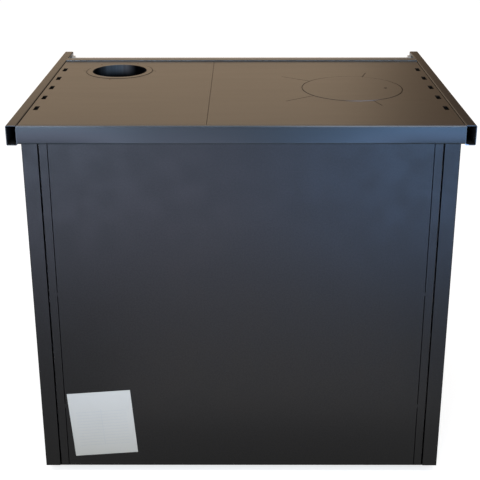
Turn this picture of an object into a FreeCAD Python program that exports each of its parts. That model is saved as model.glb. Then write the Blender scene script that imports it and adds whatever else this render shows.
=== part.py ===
"""Wood cookstove with a steel hob, a firebox on the left and an oven on the right, seen from its front.

Millimetres. +Z is up, the front faces -Y, and the origin is on the floor under the middle of the stove.
Every size is a cell of the sheet Sizes. Expressions name those cells, and the upper-case words below are
places that several pieces share.
"""

import FreeCAD, Part
import functools
import os
import re

import Sketcher

Vector = FreeCAD.Vector
Rotation = FreeCAD.Rotation

SIZES = {
    # Whole stove
    "stove_width": 858.0,
    "stove_depth": 636.0,
    "foot_height": 20.0,
    "casing_height": 731.0,
    "casing_inset": 6.0,
    "front_reach": 84.0,
    "running_gap": 0.4,
    "pivot_clearance": 0.06,
    # Top frame
    "side_rail_width": 20.0,
    "side_rail_lift": 1.0,
    "rail_drop": 35.0,
    "side_rail_drop": 37.0,
    "rail_sheet": 1.5,
    "rail_bend": 1.0,
    "end_cap": 3.0,
    "cap_plug": 14.0,
    "plug_clearance": 0.2,
    "rear_ledge": 8.0,
    "rear_reveal": 3.0,
    "rim_lift": 3.0,
    "rim_width": 20.0,
    "handrail_diameter": 16.0,
    "handrail_inset": 20.0,
    "ferrule_diameter": 26.0,
    "ferrule_length": 8.0,
    # Hob
    "hob_thickness": 6.0,
    "hob_gap": 1.4,
    "seam_gap": 0.8,
    "seam_x": 63.0,
    "slot_width": 9.0,
    "slot_length": 28.0,
    "slot_pitch": 81.0,
    "slot_inset": 11.4,
    "slot_setback": 276.0,
    "disc_diameter": 207.5,
    "disc_ledge": 7.0,
    "disc_step": 3.0,
    "disc_rise": 0.3,
    "disc_ease": 1.0,
    "disc_gap": 1.1,
    "disc_inset": 176.6,
    "disc_setback": 269.2,
    "lift_hole": 7.0,
    "lift_hole_offset": 70.0,
    "slit_width": 1.5,
    "long_slit": 72.0,
    "short_slit": 40.0,
    "flue_bore": 120.0,
    "collar_wall": 3.0,
    "collar_flange": 10.0,
    "collar_step": 3.0,
    "collar_rise": 0.5,
    "collar_ease": 0.5,
    "flue_inset": 135.6,
    "flue_front_inset": 113.4,
    "spigot_length": 50.0,
    "collar_slit": 9.0,
    # Casing
    "casing_sheet": 1.2,
    "side_flange": 29.0,
    "front_flange": 20.0,
    "post_gap": 3.4,
    "post_strip": 14.5,
    "panel_gap": 1.5,
    "panel_lift": 3.0,
    "panel_return": 18.0,
    "clip_height": 8.0,
    "clip_depth": 12.0,
    "clip_drop": 340.0,
    "clip_pitch": 250.0,
    "fascia_sheet": 2.0,
    "base_sheet": 2.0,
    "foot_diameter": 36.0,
    "foot_stem": 18.0,
    "foot_pad": 12.0,
    "foot_inset": 60.0,
    "label_width": 128.0,
    "label_height": 146.0,
    "label_paper": 0.4,
    "label_tilt": 4.4,
    "label_inset": 74.5,
    "label_drop": 630.0,
    # Inner carcass
    "carcass_sheet": 3.0,
    "air_gap": 22.0,
    "rear_air_gap": 38.0,
    "drawer_bay": 203.0,
    "ash_bay": 172.0,
    "firebox_width": 289.0,
    "oven_gap": 32.0,
    "side_passage": 60.0,
    "top_passage": 80.0,
    "bottom_passage": 75.0,
    # Firebox
    "brick_thickness": 30.0,
    "brick_drop": 85.0,
    "brick_setback": 24.0,
    "grate_thickness": 14.0,
    "grate_plate": 5.0,
    "grate_clearance": 3.0,
    "grate_setback": 60.0,
    "grate_length": 330.0,
    "grate_seat": 14.0,
    "grate_bar": 11.0,
    "grate_slot": 9.0,
    # Oven
    "oven_sheet": 1.5,
    "oven_back_gap": 40.0,
    "shelf_rib": 9.0,
    "shelf_rib_height": 4.0,
    "shelf_pitch": 90.0,
    "shelf_play": 2.0,
    "shelf_wire": 5.0,
    "rack_bar": 4.0,
    "rack_bar_rise": 1.2,
    "shelf_wire_pitch": 34.0,
    "tray_depth": 40.0,
    "tray_floor_gap": 5.0,
    "tray_sheet": 1.2,
    "tray_rim": 12.0,
    "tray_setback": 40.0,
    # Smoke control
    "damper_clearance": 12.0,
    "damper_rod": 8.0,
    "damper_sheet": 3.0,
    "damper_sleeve": 14.0,
    "damper_reach": 44.0,
    "partition_clearance": 3.8,
    "partition_wing": 16.0,
    "damper_knob_diameter": 28.0,
    "damper_knob_length": 24.0,
    "damper_knob_gap": 2.0,
    "knob_socket": 16.0,
    "knob_neck": 8.0,
    "knob_lip": 4.0,
    "knob_chamfer": 2.0,
    # Doors
    "control_strip": 38.0,
    "door_gap": 6.0,
    "door_depth": 24.0,
    "door_skin": 6.0,
    "door_rim": 12.0,
    "door_bevel": 3.0,
    "gasket_depth": 3.0,
    "gasket_width": 9.0,
    "door_overlap": 28.0,
    "window_margin": 52.0,
    "glass_thickness": 4.0,
    "glass_lap": 12.0,
    "glass_clearance": 0.3,
    "clip_plate": 2.0,
    "clip_span": 26.0,
    "clip_screw": 6.0,
    "hinge_offset": 10.0,
    "hinge_pin": 8.0,
    "hinge_head": 12.0,
    "hinge_head_height": 3.0,
    "hinge_web": 7.5,
    "hinge_knuckle": 15.0,
    "hinge_barrel": 30.0,
    "hinge_ear": 9.0,
    "hinge_play": 0.5,
    "hinge_margin": 60.0,
    "latch_inset": 14.0,
    "latch_drop": 16.0,
    "latch_spindle": 10.0,
    "latch_tongue": 30.0,
    "latch_tongue_width": 14.0,
    "latch_tongue_plate": 4.0,
    "latch_boss": 24.0,
    "lever_length": 120.0,
    "lever_diameter": 13.0,
    "lever_standoff": 26.0,
    "handle_diameter": 13.0,
    "handle_standoff": 36.0,
    "handle_inset": 19.5,
    "handle_ease": 3.0,
    "handle_post": 11.0,
    "oven_handle_span": 210.0,
    "oven_handle_inset": 26.0,
    "fire_window_top": 84.0,
    "oven_window_top": 104.0,
    "dial_diameter": 62.0,
    "dial_depth": 10.0,
    "dial_drop": 52.0,
    "dial_wall": 2.5,
    "dial_face": 2.0,
    "dial_lens": 2.0,
    "dial_hub": 4.0,
    "needle_width": 2.4,
    "needle_tail": 6.2,
    "needle_plate": 1.0,
    # Drawers and hatch
    "drawer_front": 20.0,
    "front_sheet": 2.0,
    "front_return": 16.0,
    "front_bevel": 1.5,
    "drawer_sheet": 1.5,
    "pan_inset": 25.0,
    "pan_height": 60.0,
    "pan_setback": 60.0,
    "pan_play": 2.0,
    "valve_diameter": 92.0,
    "valve_plate": 4.0,
    "valve_port": 22.0,
    "valve_port_offset": 29.0,
    "valve_stud": 8.0,
    "valve_collar": 14.0,
    "valve_collar_length": 5.0,
    "valve_knob_diameter": 26.0,
    "valve_knob_length": 24.0,
    "wood_drawer_height": 150.0,
    "wood_drawer_setback": 40.0,
    "wood_drawer_play": 8.0,
    "runner_height": 8.0,
    "runner_width": 18.0,
    "wood_handle_span": 240.0,
    "ash_handle_span": 120.0,
    "hatch_width": 190.0,
    "hatch_plate": 4.0,
    "hatch_lap": 8.0,
    "hatch_plug": 18.0,
    "hatch_knob_diameter": 20.0,
    "hatch_knob_length": 20.0,
}
SLOT_COUNT = 5
SLIT_ANGLES = (72, 144, 216, 288)
LONG_SLIT_ANGLES = (144, 216)
SHELF_LEVELS = (1, 2, 3)
RACK_LEVEL = 3
TRAY_LEVEL = 1
PORT_ANGLES = (90, 210, 330)

# Places along X
RAIL_X = "(stove_width / 2 - side_rail_width)"
CASE_X = f"({RAIL_X} - casing_inset)"
FLANGE_X = f"({CASE_X} - side_flange)"
POST_X = f"({FLANGE_X} - post_gap)"
PANEL_X = f"({POST_X} - post_strip)"
CARCASS_X = f"({CASE_X} - casing_sheet - air_gap)"
INNER_X = f"({CARCASS_X} - carcass_sheet)"
FIRE_WALL_X = f"(firebox_width - {INNER_X})"
SPLIT_X = f"({FIRE_WALL_X} + carcass_sheet / 2)"
FIRE_LEFT_X = f"(brick_thickness - {INNER_X})"
FIRE_RIGHT_X = f"({FIRE_WALL_X} - brick_thickness)"
OVEN_LEFT_X = f"({FIRE_WALL_X} + carcass_sheet + oven_gap)"
OVEN_RIGHT_X = f"({INNER_X} - side_passage)"
HINGE_X = f"({INNER_X} + hinge_offset)"
HOB_X = f"({RAIL_X} - hob_gap)"
DISC_X = f"(disc_inset - {HOB_X})"
FLUE_X = f"({HOB_X} - flue_inset)"
SPIGOT_RADIUS = "(flue_bore / 2 + collar_wall)"
DAMPER_X = f"({FLUE_X} - {SPIGOT_RADIUS} - damper_clearance - damper_sleeve / 2)"
LABEL_X = f"({PANEL_X} - label_inset)"
HATCH_X = f"(({OVEN_LEFT_X} + {OVEN_RIGHT_X}) / 2)"

# Places along Y
TIP_Y = "(-stove_depth / 2)"
BACK_Y = "(stove_depth / 2)"
FASCIA_Y = f"({TIP_Y} + front_reach)"
CASE_FRONT_Y = f"({FASCIA_Y} + fascia_sheet)"
CASE_BACK_Y = f"({BACK_Y} - rear_reveal)"
HOB_BACK_Y = f"({BACK_Y} - rear_ledge - seam_gap)"
HOB_FRONT_Y = f"({CASE_FRONT_Y} + seam_gap)"
INNER_FRONT_Y = f"({CASE_FRONT_Y} + carcass_sheet)"
CARCASS_BACK_Y = f"({CASE_BACK_Y} - rear_air_gap)"
INNER_BACK_Y = f"({CARCASS_BACK_Y} - carcass_sheet)"
OVEN_BACK_Y = f"({INNER_BACK_Y} - oven_back_gap)"
DOOR_BACK_Y = f"({FASCIA_Y} - gasket_depth)"
DOOR_FRONT_Y = f"({DOOR_BACK_Y} - door_depth)"
DOOR_SKIN_Y = f"({DOOR_FRONT_Y} + door_skin)"
HINGE_Y = f"({DOOR_BACK_Y} - door_depth / 2)"
DRAWER_BACK_Y = f"({FASCIA_Y} - running_gap)"
DRAWER_FRONT_Y = f"({DRAWER_BACK_Y} - drawer_front)"
DISC_Y = f"({HOB_BACK_Y} - disc_setback)"
SLOT_Y = f"({HOB_BACK_Y} - slot_setback)"
FLUE_Y = f"({HOB_FRONT_Y} + flue_front_inset)"
PARTITION_FRONT_Y = f"({FLUE_Y} + {SPIGOT_RADIUS} + partition_clearance)"
PARTITION_BACK_Y = f"({PARTITION_FRONT_Y} + damper_sheet)"

# Places along Z
HOB_Z = "(foot_height + casing_height)"
HOB_UNDER_Z = f"({HOB_Z} - hob_thickness)"
DISC_TOP_Z = f"({HOB_Z} + disc_rise)"
COLLAR_TOP_Z = f"({HOB_Z} + collar_rise)"
RAIL_Z = f"({HOB_Z} - rail_drop)"
BASE_Z = "(foot_height + base_sheet)"
DECK_Z = f"({BASE_Z} + drawer_bay)"
GRATE_Z = f"({DECK_Z} + ash_bay)"
OVEN_TOP_Z = f"({HOB_UNDER_Z} - top_passage)"
OVEN_FLOOR_Z = f"({DECK_Z} + bottom_passage)"
ROD_Z = f"({RAIL_Z} - control_strip / 2)"
DOOR_TOP_Z = f"({RAIL_Z} - control_strip)"
FIRE_DOOR_FOOT_Z = f"({GRATE_Z} + door_gap)"
ASH_FRONT_FOOT_Z = f"({DECK_Z} + door_gap)"
ASH_FRONT_TOP_Z = f"({FIRE_DOOR_FOOT_Z} - door_gap)"
OVEN_DOOR_FOOT_Z = f"({OVEN_FLOOR_Z} - door_rim)"
WOOD_FRONT_FOOT_Z = f"({BASE_Z} + door_gap)"
WOOD_FRONT_TOP_Z = f"({DECK_Z} - carcass_sheet - door_gap / 2)"
PAN_TOP_Z = f"({DECK_Z} + pan_height)"
ASH_MOUTH_TOP_Z = f"({ASH_FRONT_TOP_Z} - door_rim)"
VALVE_Z = f"(({PAN_TOP_Z} + {ASH_MOUTH_TOP_Z}) / 2)"
RUNNER_Z = f"({BASE_Z} + runner_height)"
WOOD_BOX_TOP_Z = f"({RUNNER_Z} + running_gap + wood_drawer_height)"

FIRE_DOOR_X = (f"-{INNER_X}", f"({SPLIT_X} - door_gap / 2)")
OVEN_DOOR_X = (f"({SPLIT_X} + door_gap / 2)", INNER_X)
FIRE_DOOR_Z = (FIRE_DOOR_FOOT_Z, DOOR_TOP_Z)
OVEN_DOOR_Z = (OVEN_DOOR_FOOT_Z, DOOR_TOP_Z)
FIRE_MOUTH_X = (FIRE_LEFT_X, FIRE_RIGHT_X)
FIRE_MOUTH_Z = (f"({FIRE_DOOR_FOOT_Z} + door_overlap)", f"({DOOR_TOP_Z} - door_overlap)")
OVEN_MOUTH_X = (f"({OVEN_LEFT_X} + oven_sheet)", f"({OVEN_RIGHT_X} - oven_sheet)")
OVEN_MOUTH_Z = (f"({OVEN_FLOOR_Z} + oven_sheet)", f"({OVEN_TOP_Z} - oven_sheet)")
PAN_X = (f"(pan_inset - {INNER_X})", f"({FIRE_WALL_X} - pan_inset)")
ASH_MOUTH_X = (f"({PAN_X[0]} - pan_play)", f"({PAN_X[1]} + pan_play)")
ASH_MOUTH_Z = (DECK_Z, ASH_MOUTH_TOP_Z)
WOOD_X = f"({INNER_X} - wood_drawer_play)"
WOOD_MOUTH_X = (f"-{INNER_X}", INNER_X)
WOOD_MOUTH_Z = (RUNNER_Z, f"({WOOD_BOX_TOP_Z} + wood_drawer_play)")
HATCH_COVER_X = (f"({HATCH_X} - hatch_width / 2)", f"({HATCH_X} + hatch_width / 2)")
HATCH_MOUTH_X = (f"({HATCH_COVER_X[0]} + hatch_lap)", f"({HATCH_COVER_X[1]} - hatch_lap)")
HATCH_FOOT_Z = f"({DECK_Z} + door_gap)"
HATCH_TOP_Z = f"({OVEN_DOOR_FOOT_Z} - door_gap)"
HATCH_MOUTH_Z = (f"({HATCH_FOOT_Z} + hatch_lap)", f"({HATCH_TOP_Z} - hatch_lap)")
GRATE_X = (f"({FIRE_LEFT_X} + grate_clearance)", f"({FIRE_RIGHT_X} - grate_clearance)")
GRATE_Y = (f"({INNER_FRONT_Y} + grate_setback)", f"({INNER_FRONT_Y} + grate_setback + grate_length)")
LATCH_X = f"({FIRE_RIGHT_X} - latch_inset)"
LATCH_Z = f"({FIRE_MOUTH_Z[1]} - latch_drop)"
DIAL_X = f"(({OVEN_DOOR_X[0]} + {OVEN_DOOR_X[1]}) / 2)"
DIAL_Z = f"({DOOR_TOP_Z} - dial_drop)"
VALVE_X = f"(({PAN_X[0]} + {PAN_X[1]}) / 2)"

doc = FreeCAD.newDocument("WoodCookstove")
nodes = []


def fill_sheet():
    """Writes every driving size into the sheet, one aliased cell each."""
    sheet = doc.addObject("Spreadsheet::Sheet", "Sizes")
    for row, (alias, size) in enumerate(SIZES.items(), start=1):
        sheet.set(f"A{row}", alias)
        sheet.set(f"B{row}", str(size))
        sheet.setAlias(f"B{row}", alias)
    doc.recompute()
    return sheet


sheet = fill_sheet()
probe = doc.addObject("Spreadsheet::Sheet", "Probe")
ALIAS = re.compile(r"\b(" + "|".join(SIZES) + r")\b")


def bound(text):
    """The expression with each size's name turned into its cell."""
    return ALIAS.sub(r"Sizes.\1", str(text))


def bind(thing, prop, text):
    thing.setExpression(prop, bound(text))


@functools.lru_cache(maxsize=None)
def value(text):
    """What an expression comes to, worked out in a cell of the probe sheet."""
    probe.set("A1", f"={bound(text)}")
    probe.recompute()
    return float(probe.get("A1"))


def place(thing, x, y, z):
    for axis, text in zip("xyz", (x, y, z)):
        bind(thing, f"Placement.Base.{axis}", text)


def node(thing):
    """Marks a finished piece as one sub-part of the stove."""
    nodes.append(thing)
    return thing


def block(name, x, y, z):
    """A box between two corners, given as (low, high) along each axis."""
    box = doc.addObject("Part::Box", name)
    for prop, (low, high) in zip(("Length", "Width", "Height"), (x, y, z)):
        bind(box, prop, f"({high}) - ({low})")
    place(box, x[0], y[0], z[0])
    return box


AXIS_TURN = {
    "X": Rotation(Vector(0, 1, 0), 90),
    "Y": Rotation(Vector(1, 0, 0), -90),
    "Z": Rotation(),
}


def rod(name, axis, x, y, z, diameter):
    """A cylinder along an axis: that axis has a (low, high) pair, and the other two a place each."""
    cylinder = doc.addObject("Part::Cylinder", name)
    spans = {"X": x, "Y": y, "Z": z}
    low, high = spans[axis]
    bind(cylinder, "Radius", f"({diameter}) / 2")
    bind(cylinder, "Height", f"({high}) - ({low})")
    cylinder.Placement = FreeCAD.Placement(Vector(), AXIS_TURN[axis])
    spans[axis] = low
    place(cylinder, spans["X"], spans["Y"], spans["Z"])
    return cylinder


def joined(name, *pieces):
    fuse = doc.addObject("Part::MultiFuse", name)
    fuse.Shapes = list(pieces)
    fuse.Refine = True
    return fuse


def less(name, base, *tools):
    """The base with every tool cut out of it."""
    cut = doc.addObject("Part::Cut", name)
    cut.Base = base
    cut.Tool = tools[0] if len(tools) == 1 else joined(f"{name}_cuts", *tools)
    cut.Refine = True
    return cut


def group(name, *pieces):
    """Identical or paired pieces that share one node as separate solids."""
    compound = doc.addObject("Part::Compound", name)
    compound.Links = list(pieces)
    return compound


def shell(name, x, y, z, wall, inner_y=None, open_top=True):
    """A folded box with an open top, or with an open front when inner_y says where its inside begins."""
    outer = block(f"{name}_outer", x, y, z)
    inside_x = (f"{x[0]} + {wall}", f"{x[1]} - {wall}")
    inside_z = (f"{z[0]} + {wall}", z[1] if open_top else f"{z[1]} - {wall}")
    inside_y = inner_y or (f"{y[0]} + {wall}", f"{y[1]} - {wall}")
    return less(name, outer, block(f"{name}_inside", inside_x, inside_y, inside_z))


def ring(name, x, y, z, width):
    """A rectangular frame in the XZ plane."""
    outer = block(f"{name}_outer", x, y, z)
    hole_x = (f"{x[0]} + {width}", f"{x[1]} - {width}")
    hole_z = (f"{z[0]} + {width}", f"{z[1]} - {width}")
    return less(name, outer, block(f"{name}_hole", hole_x, y, hole_z))


def rounded(name, base, radius, pick):
    """Rounds the base's edges that pick() accepts."""
    doc.recompute()
    fillet = doc.addObject("Part::Fillet", name)
    fillet.Base = base
    size = value(radius)
    found = [i for i, edge in enumerate(base.Shape.Edges, start=1) if pick(edge)]
    fillet.Edges = [(i, size, size) for i in found]
    return fillet


def runs_along(edge, axis):
    """Whether a straight edge lies along X, Y or Z."""
    if edge.Curve.TypeId != "Part::GeomLine":
        return False
    direction = edge.Vertexes[-1].Point.sub(edge.Vertexes[0].Point).normalize()
    return abs(getattr(direction, axis.lower())) > 0.999


def lengthwise(edge):
    return runs_along(edge, "Y")


def at(edge, **places):
    """Whether an edge's middle has these coordinates."""
    middle = edge.BoundBox.Center
    return all(abs(getattr(middle, axis) - value(text)) < 1e-4 for axis, text in places.items())


PLANE_ROLE = {"XY": "XY_Plane", "XZ": "XZ_Plane", "YZ": "YZ_Plane"}


def outline(body, plane, points):
    """A closed sketch whose corners are bound to the sheet."""
    sketch = body.newObject("Sketcher::SketchObject", f"{body.Name}_outline")
    support = next(o for o in body.Origin.OriginFeatures if o.Role == PLANE_ROLE[plane])
    sketch.AttachmentSupport = [(support, "")]
    sketch.MapMode = "FlatFace"
    corners = [Vector(value(x), value(y), 0) for x, y in points]
    count = len(points)
    for i in range(count):
        sketch.addGeometry(Part.LineSegment(corners[i], corners[(i + 1) % count]), False)
    for i in range(count):
        sketch.addConstraint(Sketcher.Constraint("Coincident", i, 2, (i + 1) % count, 1))
    for i, (x, y) in enumerate(points):
        for kind, text, here in (("DistanceX", x, corners[i].x), ("DistanceY", y, corners[i].y)):
            index = sketch.addConstraint(Sketcher.Constraint(kind, -1, 1, i, 1, here))
            bind(sketch, f"Constraints[{index}]", text)
    return sketch


def folded(name, plane, points, length, start, bends=()):
    """A sheet profile extruded to its length. Each bend is (pick, radius), for edges that pick() accepts."""
    body = doc.addObject("PartDesign::Body", name)
    sketch = outline(body, plane, points)
    pad = body.newObject("PartDesign::Pad", f"{name}_pad")
    pad.Profile = sketch
    bind(pad, "Length", length)
    place(body, *start)
    last = pad
    for i, (pick, radius) in enumerate(bends):
        doc.recompute()
        picked = [f"Edge{n}" for n, edge in enumerate(last.Shape.Edges, start=1) if pick(edge)]
        fillet = body.newObject("PartDesign::Fillet", f"{name}_bend_{i}")
        fillet.Base = (last, picked)
        bind(fillet, "Radius", radius)
        last = fillet
    return body


def turned(name, points, centre, axis="Z"):
    """A piece turned on a lathe: points are (radius, height) pairs, and height runs along the axis."""
    body = doc.addObject("PartDesign::Body", name)
    sketch = outline(body, "XZ", points)
    revolution = body.newObject("PartDesign::Revolution", f"{name}_turn")
    revolution.Profile = sketch
    revolution.ReferenceAxis = (sketch, ["V_Axis"])
    revolution.Angle = 360
    if axis == "-Y":
        body.Placement = FreeCAD.Placement(Vector(), Rotation(Vector(1, 0, 0), 90))
    place(body, *centre)
    return body


def knob_profile(diameter, length):
    """A knob's outside from its neck to its crown, as (radius, height) pairs."""
    radius = f"{diameter} / 2"
    return [
        (f"{radius} - knob_lip", "0"),
        (f"{radius} - knob_lip", "knob_neck"),
        (radius, "knob_neck + knob_lip"),
        (radius, f"{length} - knob_chamfer"),
        (f"{radius} - knob_chamfer", length),
        ("0", length),
    ]


def build_top_frame():
    """Rear rail, two tubular side rails, front rim and the handrail between the rail tips."""
    rear = [
        (f"{BACK_Y} - rear_ledge", HOB_Z),
        (BACK_Y, HOB_Z),
        (BACK_Y, RAIL_Z),
        (CASE_BACK_Y, RAIL_Z),
        (CASE_BACK_Y, f"{RAIL_Z} + rail_sheet"),
        (f"{BACK_Y} - rail_sheet", f"{RAIL_Z} + rail_sheet"),
        (f"{BACK_Y} - rail_sheet", f"{HOB_Z} - rail_sheet"),
        (f"{BACK_Y} - rear_ledge", f"{HOB_Z} - rail_sheet"),
    ]
    node(
        folded(
            "rear_rail", "YZ", rear, f"2 * {RAIL_X}", (f"-{RAIL_X}", "0", "0"),
            bends=[
                (lambda e: at(e, y=BACK_Y, z=HOB_Z), "rail_bend + rail_sheet"),
                (lambda e: at(e, y=f"{BACK_Y} - rail_sheet", z=f"{HOB_Z} - rail_sheet"), "rail_bend"),
                (lambda e: at(e, y=BACK_Y, z=RAIL_Z), "rail_bend + rail_sheet"),
                (lambda e: at(e, y=f"{BACK_Y} - rail_sheet", z=f"{RAIL_Z} + rail_sheet"), "rail_bend"),
            ],
        )
    )
    rim_y = f"({FASCIA_Y} - rail_sheet)"
    rim_z = f"({HOB_Z} + rim_lift)"
    rim = [
        (rim_y, RAIL_Z),
        (rim_y, rim_z),
        (f"{rim_y} + rim_width", rim_z),
        (f"{rim_y} + rim_width", HOB_Z),
        (f"{rim_y} + rim_width - rail_sheet", HOB_Z),
        (f"{rim_y} + rim_width - rail_sheet", f"{rim_z} - rail_sheet"),
        (FASCIA_Y, f"{rim_z} - rail_sheet"),
        (FASCIA_Y, RAIL_Z),
    ]
    node(
        folded(
            "front_rim", "YZ", rim, f"2 * {RAIL_X}", (f"-{RAIL_X}", "0", "0"),
            bends=[
                (lambda e: at(e, y=rim_y, z=rim_z), "rail_sheet"),
                (lambda e: at(e, y=f"{rim_y} + rim_width", z=rim_z), "rail_sheet"),
            ],
        )
    )
    rail_z = (f"({HOB_Z} - side_rail_drop)", f"({HOB_Z} + side_rail_lift)")
    bend = "rail_bend + rail_sheet"
    caps = []
    for side, name in ((-1, "left"), (1, "right")):
        span = (RAIL_X, "stove_width / 2") if side > 0 else ("-stove_width / 2", f"-{RAIL_X}")
        y = (f"({TIP_Y} + end_cap)", BACK_Y)
        bar = block(f"side_rail_{name}_bar", span, y, rail_z)
        outer = rounded(f"side_rail_{name}_outer", bar, bend, lengthwise)
        bore_x = (f"{span[0]} + rail_sheet", f"{span[1]} - rail_sheet")
        bore_z = (f"{rail_z[0]} + rail_sheet", f"{rail_z[1]} - rail_sheet")
        hollow = block(f"side_rail_{name}_hollow", bore_x, y, bore_z)
        bore = rounded(f"side_rail_{name}_bore", hollow, "rail_bend", lengthwise)
        node(less(f"side_rail_{name}", outer, bore))
        plate = block(f"rail_cap_{name}_plate", span, (TIP_Y, y[0]), rail_z)
        plate = rounded(f"rail_cap_{name}_face", plate, bend, lengthwise)
        plug_x = (f"{bore_x[0]} + plug_clearance", f"{bore_x[1]} - plug_clearance")
        plug_z = (f"{bore_z[0]} + plug_clearance", f"{bore_z[1]} - plug_clearance")
        core = block(f"rail_cap_{name}_core", plug_x, (y[0], f"{y[0]} + cap_plug"), plug_z)
        plug = rounded(f"rail_cap_{name}_plug", core, "rail_bend", lengthwise)
        caps.append(joined(f"rail_cap_{name}", plate, plug))
    node(group("rail_end_caps", *caps))

    bar_y = f"({TIP_Y} + handrail_inset)"
    bar_z = f"({HOB_Z} - rail_drop / 2)"
    node(rod("handrail", "X", (f"-{RAIL_X}", RAIL_X), bar_y, bar_z, "handrail_diameter"))
    ferrules = []
    for side, name in ((-1, "left"), (1, "right")):
        span = (f"{RAIL_X} - ferrule_length", RAIL_X)
        if side < 0:
            span = (f"-{RAIL_X}", f"-({RAIL_X} - ferrule_length)")
        boss = rod(f"ferrule_{name}_boss", "X", span, bar_y, bar_z, "ferrule_diameter")
        hole = rod(f"ferrule_{name}_hole", "X", span, bar_y, bar_z, "handrail_diameter + 2 * pivot_clearance")
        ferrules.append(less(f"ferrule_{name}", boss, hole))
    node(group("handrail_ferrules", *ferrules))


def vent_slots(name, edge_x):
    """The row of warm-air slots beside one edge of the hob."""
    slots = []
    for i in range(SLOT_COUNT):
        step = i - (SLOT_COUNT - 1) / 2
        middle = f"({SLOT_Y} + {step} * slot_pitch)"
        x = (f"{edge_x} - slot_width / 2", f"{edge_x} + slot_width / 2")
        y = (f"{middle} - slot_length / 2", f"{middle} + slot_length / 2")
        slots.append(block(f"{name}_slot_{i}", x, y, (HOB_UNDER_Z, HOB_Z)))
    return slots


def radial_slit(name, x, y, reach, angle):
    """A thin cut through the hob from a round hole outwards, at an angle about its centre."""
    slit = doc.addObject("Part::Box", name)
    bind(slit, "Length", reach)
    bind(slit, "Width", "slit_width")
    bind(slit, "Height", "hob_thickness")
    slit.Placement = FreeCAD.Placement(Vector(), Rotation(Vector(0, 0, 1), angle))
    place(slit, f"{x} + slit_width / 2 * sin({angle})", f"{y} - slit_width / 2 * cos({angle})", HOB_UNDER_Z)
    return slit


def build_hob():
    """Two loose plates that meet at a seam, the lift-out cooking disc and the flue collar."""
    depth = (HOB_FRONT_Y, HOB_BACK_Y)
    thick = (HOB_UNDER_Z, HOB_Z)
    step_z = f"({HOB_Z} - disc_step)"
    seat = rod("disc_seat", "Z", DISC_X, DISC_Y, (step_z, HOB_Z), "disc_diameter + 2 * disc_gap")
    throat_size = "(disc_diameter - 2 * disc_ledge + 2 * disc_gap)"
    throat = rod("disc_throat", "Z", DISC_X, DISC_Y, thick, throat_size)
    slits = []
    for angle in SLIT_ANGLES:
        reach = "long_slit" if angle in LONG_SLIT_ANGLES else "short_slit"
        # The long pair points to the middle of the hob, so the fan is turned half round.
        length = f"disc_diameter / 2 + {reach}"
        slits.append(radial_slit(f"disc_slit_{angle}", DISC_X, DISC_Y, length, angle + 180))
    blank = block("cooking_plate_blank", (f"-{HOB_X}", "seam_x - seam_gap / 2"), depth, thick)
    vents = vent_slots("cooking_plate", f"(slot_inset - {HOB_X})")
    node(less("cooking_plate", blank, seat, throat, *slits, *vents))

    disc = [
        ("0", HOB_UNDER_Z),
        ("disc_diameter / 2 - disc_ledge", HOB_UNDER_Z),
        ("disc_diameter / 2 - disc_ledge", step_z),
        ("disc_diameter / 2", step_z),
        ("disc_diameter / 2", DISC_TOP_Z),
        ("0", DISC_TOP_Z),
    ]
    lid = turned("cooking_disc_blank", disc, (DISC_X, DISC_Y, "0"))
    lid = rounded("cooking_disc_lid", lid, "disc_ease", lambda e: at(e, x=DISC_X, y=DISC_Y, z=DISC_TOP_Z))
    hole_x = f"({DISC_X} - lift_hole_offset)"
    hole = rod("disc_lift_hole", "Z", hole_x, DISC_Y, (HOB_UNDER_Z, DISC_TOP_Z), "lift_hole")
    node(less("cooking_disc", lid, hole))

    collar_rim = f"({SPIGOT_RADIUS} + collar_flange)"
    collar_z = f"({HOB_Z} - collar_step)"
    ring_seat = rod("collar_seat", "Z", FLUE_X, FLUE_Y, (collar_z, HOB_Z), f"2 * ({collar_rim} + disc_gap)")
    ring_hole = rod("collar_hole", "Z", FLUE_X, FLUE_Y, thick, f"2 * ({SPIGOT_RADIUS} + disc_gap)")
    marks = [
        radial_slit(f"collar_slit_{angle}", FLUE_X, FLUE_Y, f"{collar_rim} + collar_slit", angle)
        for angle in (0, 180)
    ]
    blank = block("flue_plate_blank", ("seam_x + seam_gap / 2", HOB_X), depth, thick)
    vents = vent_slots("flue_plate", f"({HOB_X} - slot_inset)")
    node(less("flue_plate", blank, ring_seat, ring_hole, *marks, *vents))

    collar = [
        ("flue_bore / 2", f"{COLLAR_TOP_Z} - spigot_length"),
        (SPIGOT_RADIUS, f"{COLLAR_TOP_Z} - spigot_length"),
        (SPIGOT_RADIUS, collar_z),
        (collar_rim, collar_z),
        (collar_rim, f"{COLLAR_TOP_Z} - collar_ease"),
        (f"{collar_rim} - collar_ease", COLLAR_TOP_Z),
        ("flue_bore / 2", COLLAR_TOP_Z),
    ]
    node(turned("flue_collar", collar, (FLUE_X, FLUE_Y, "0")))


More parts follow.
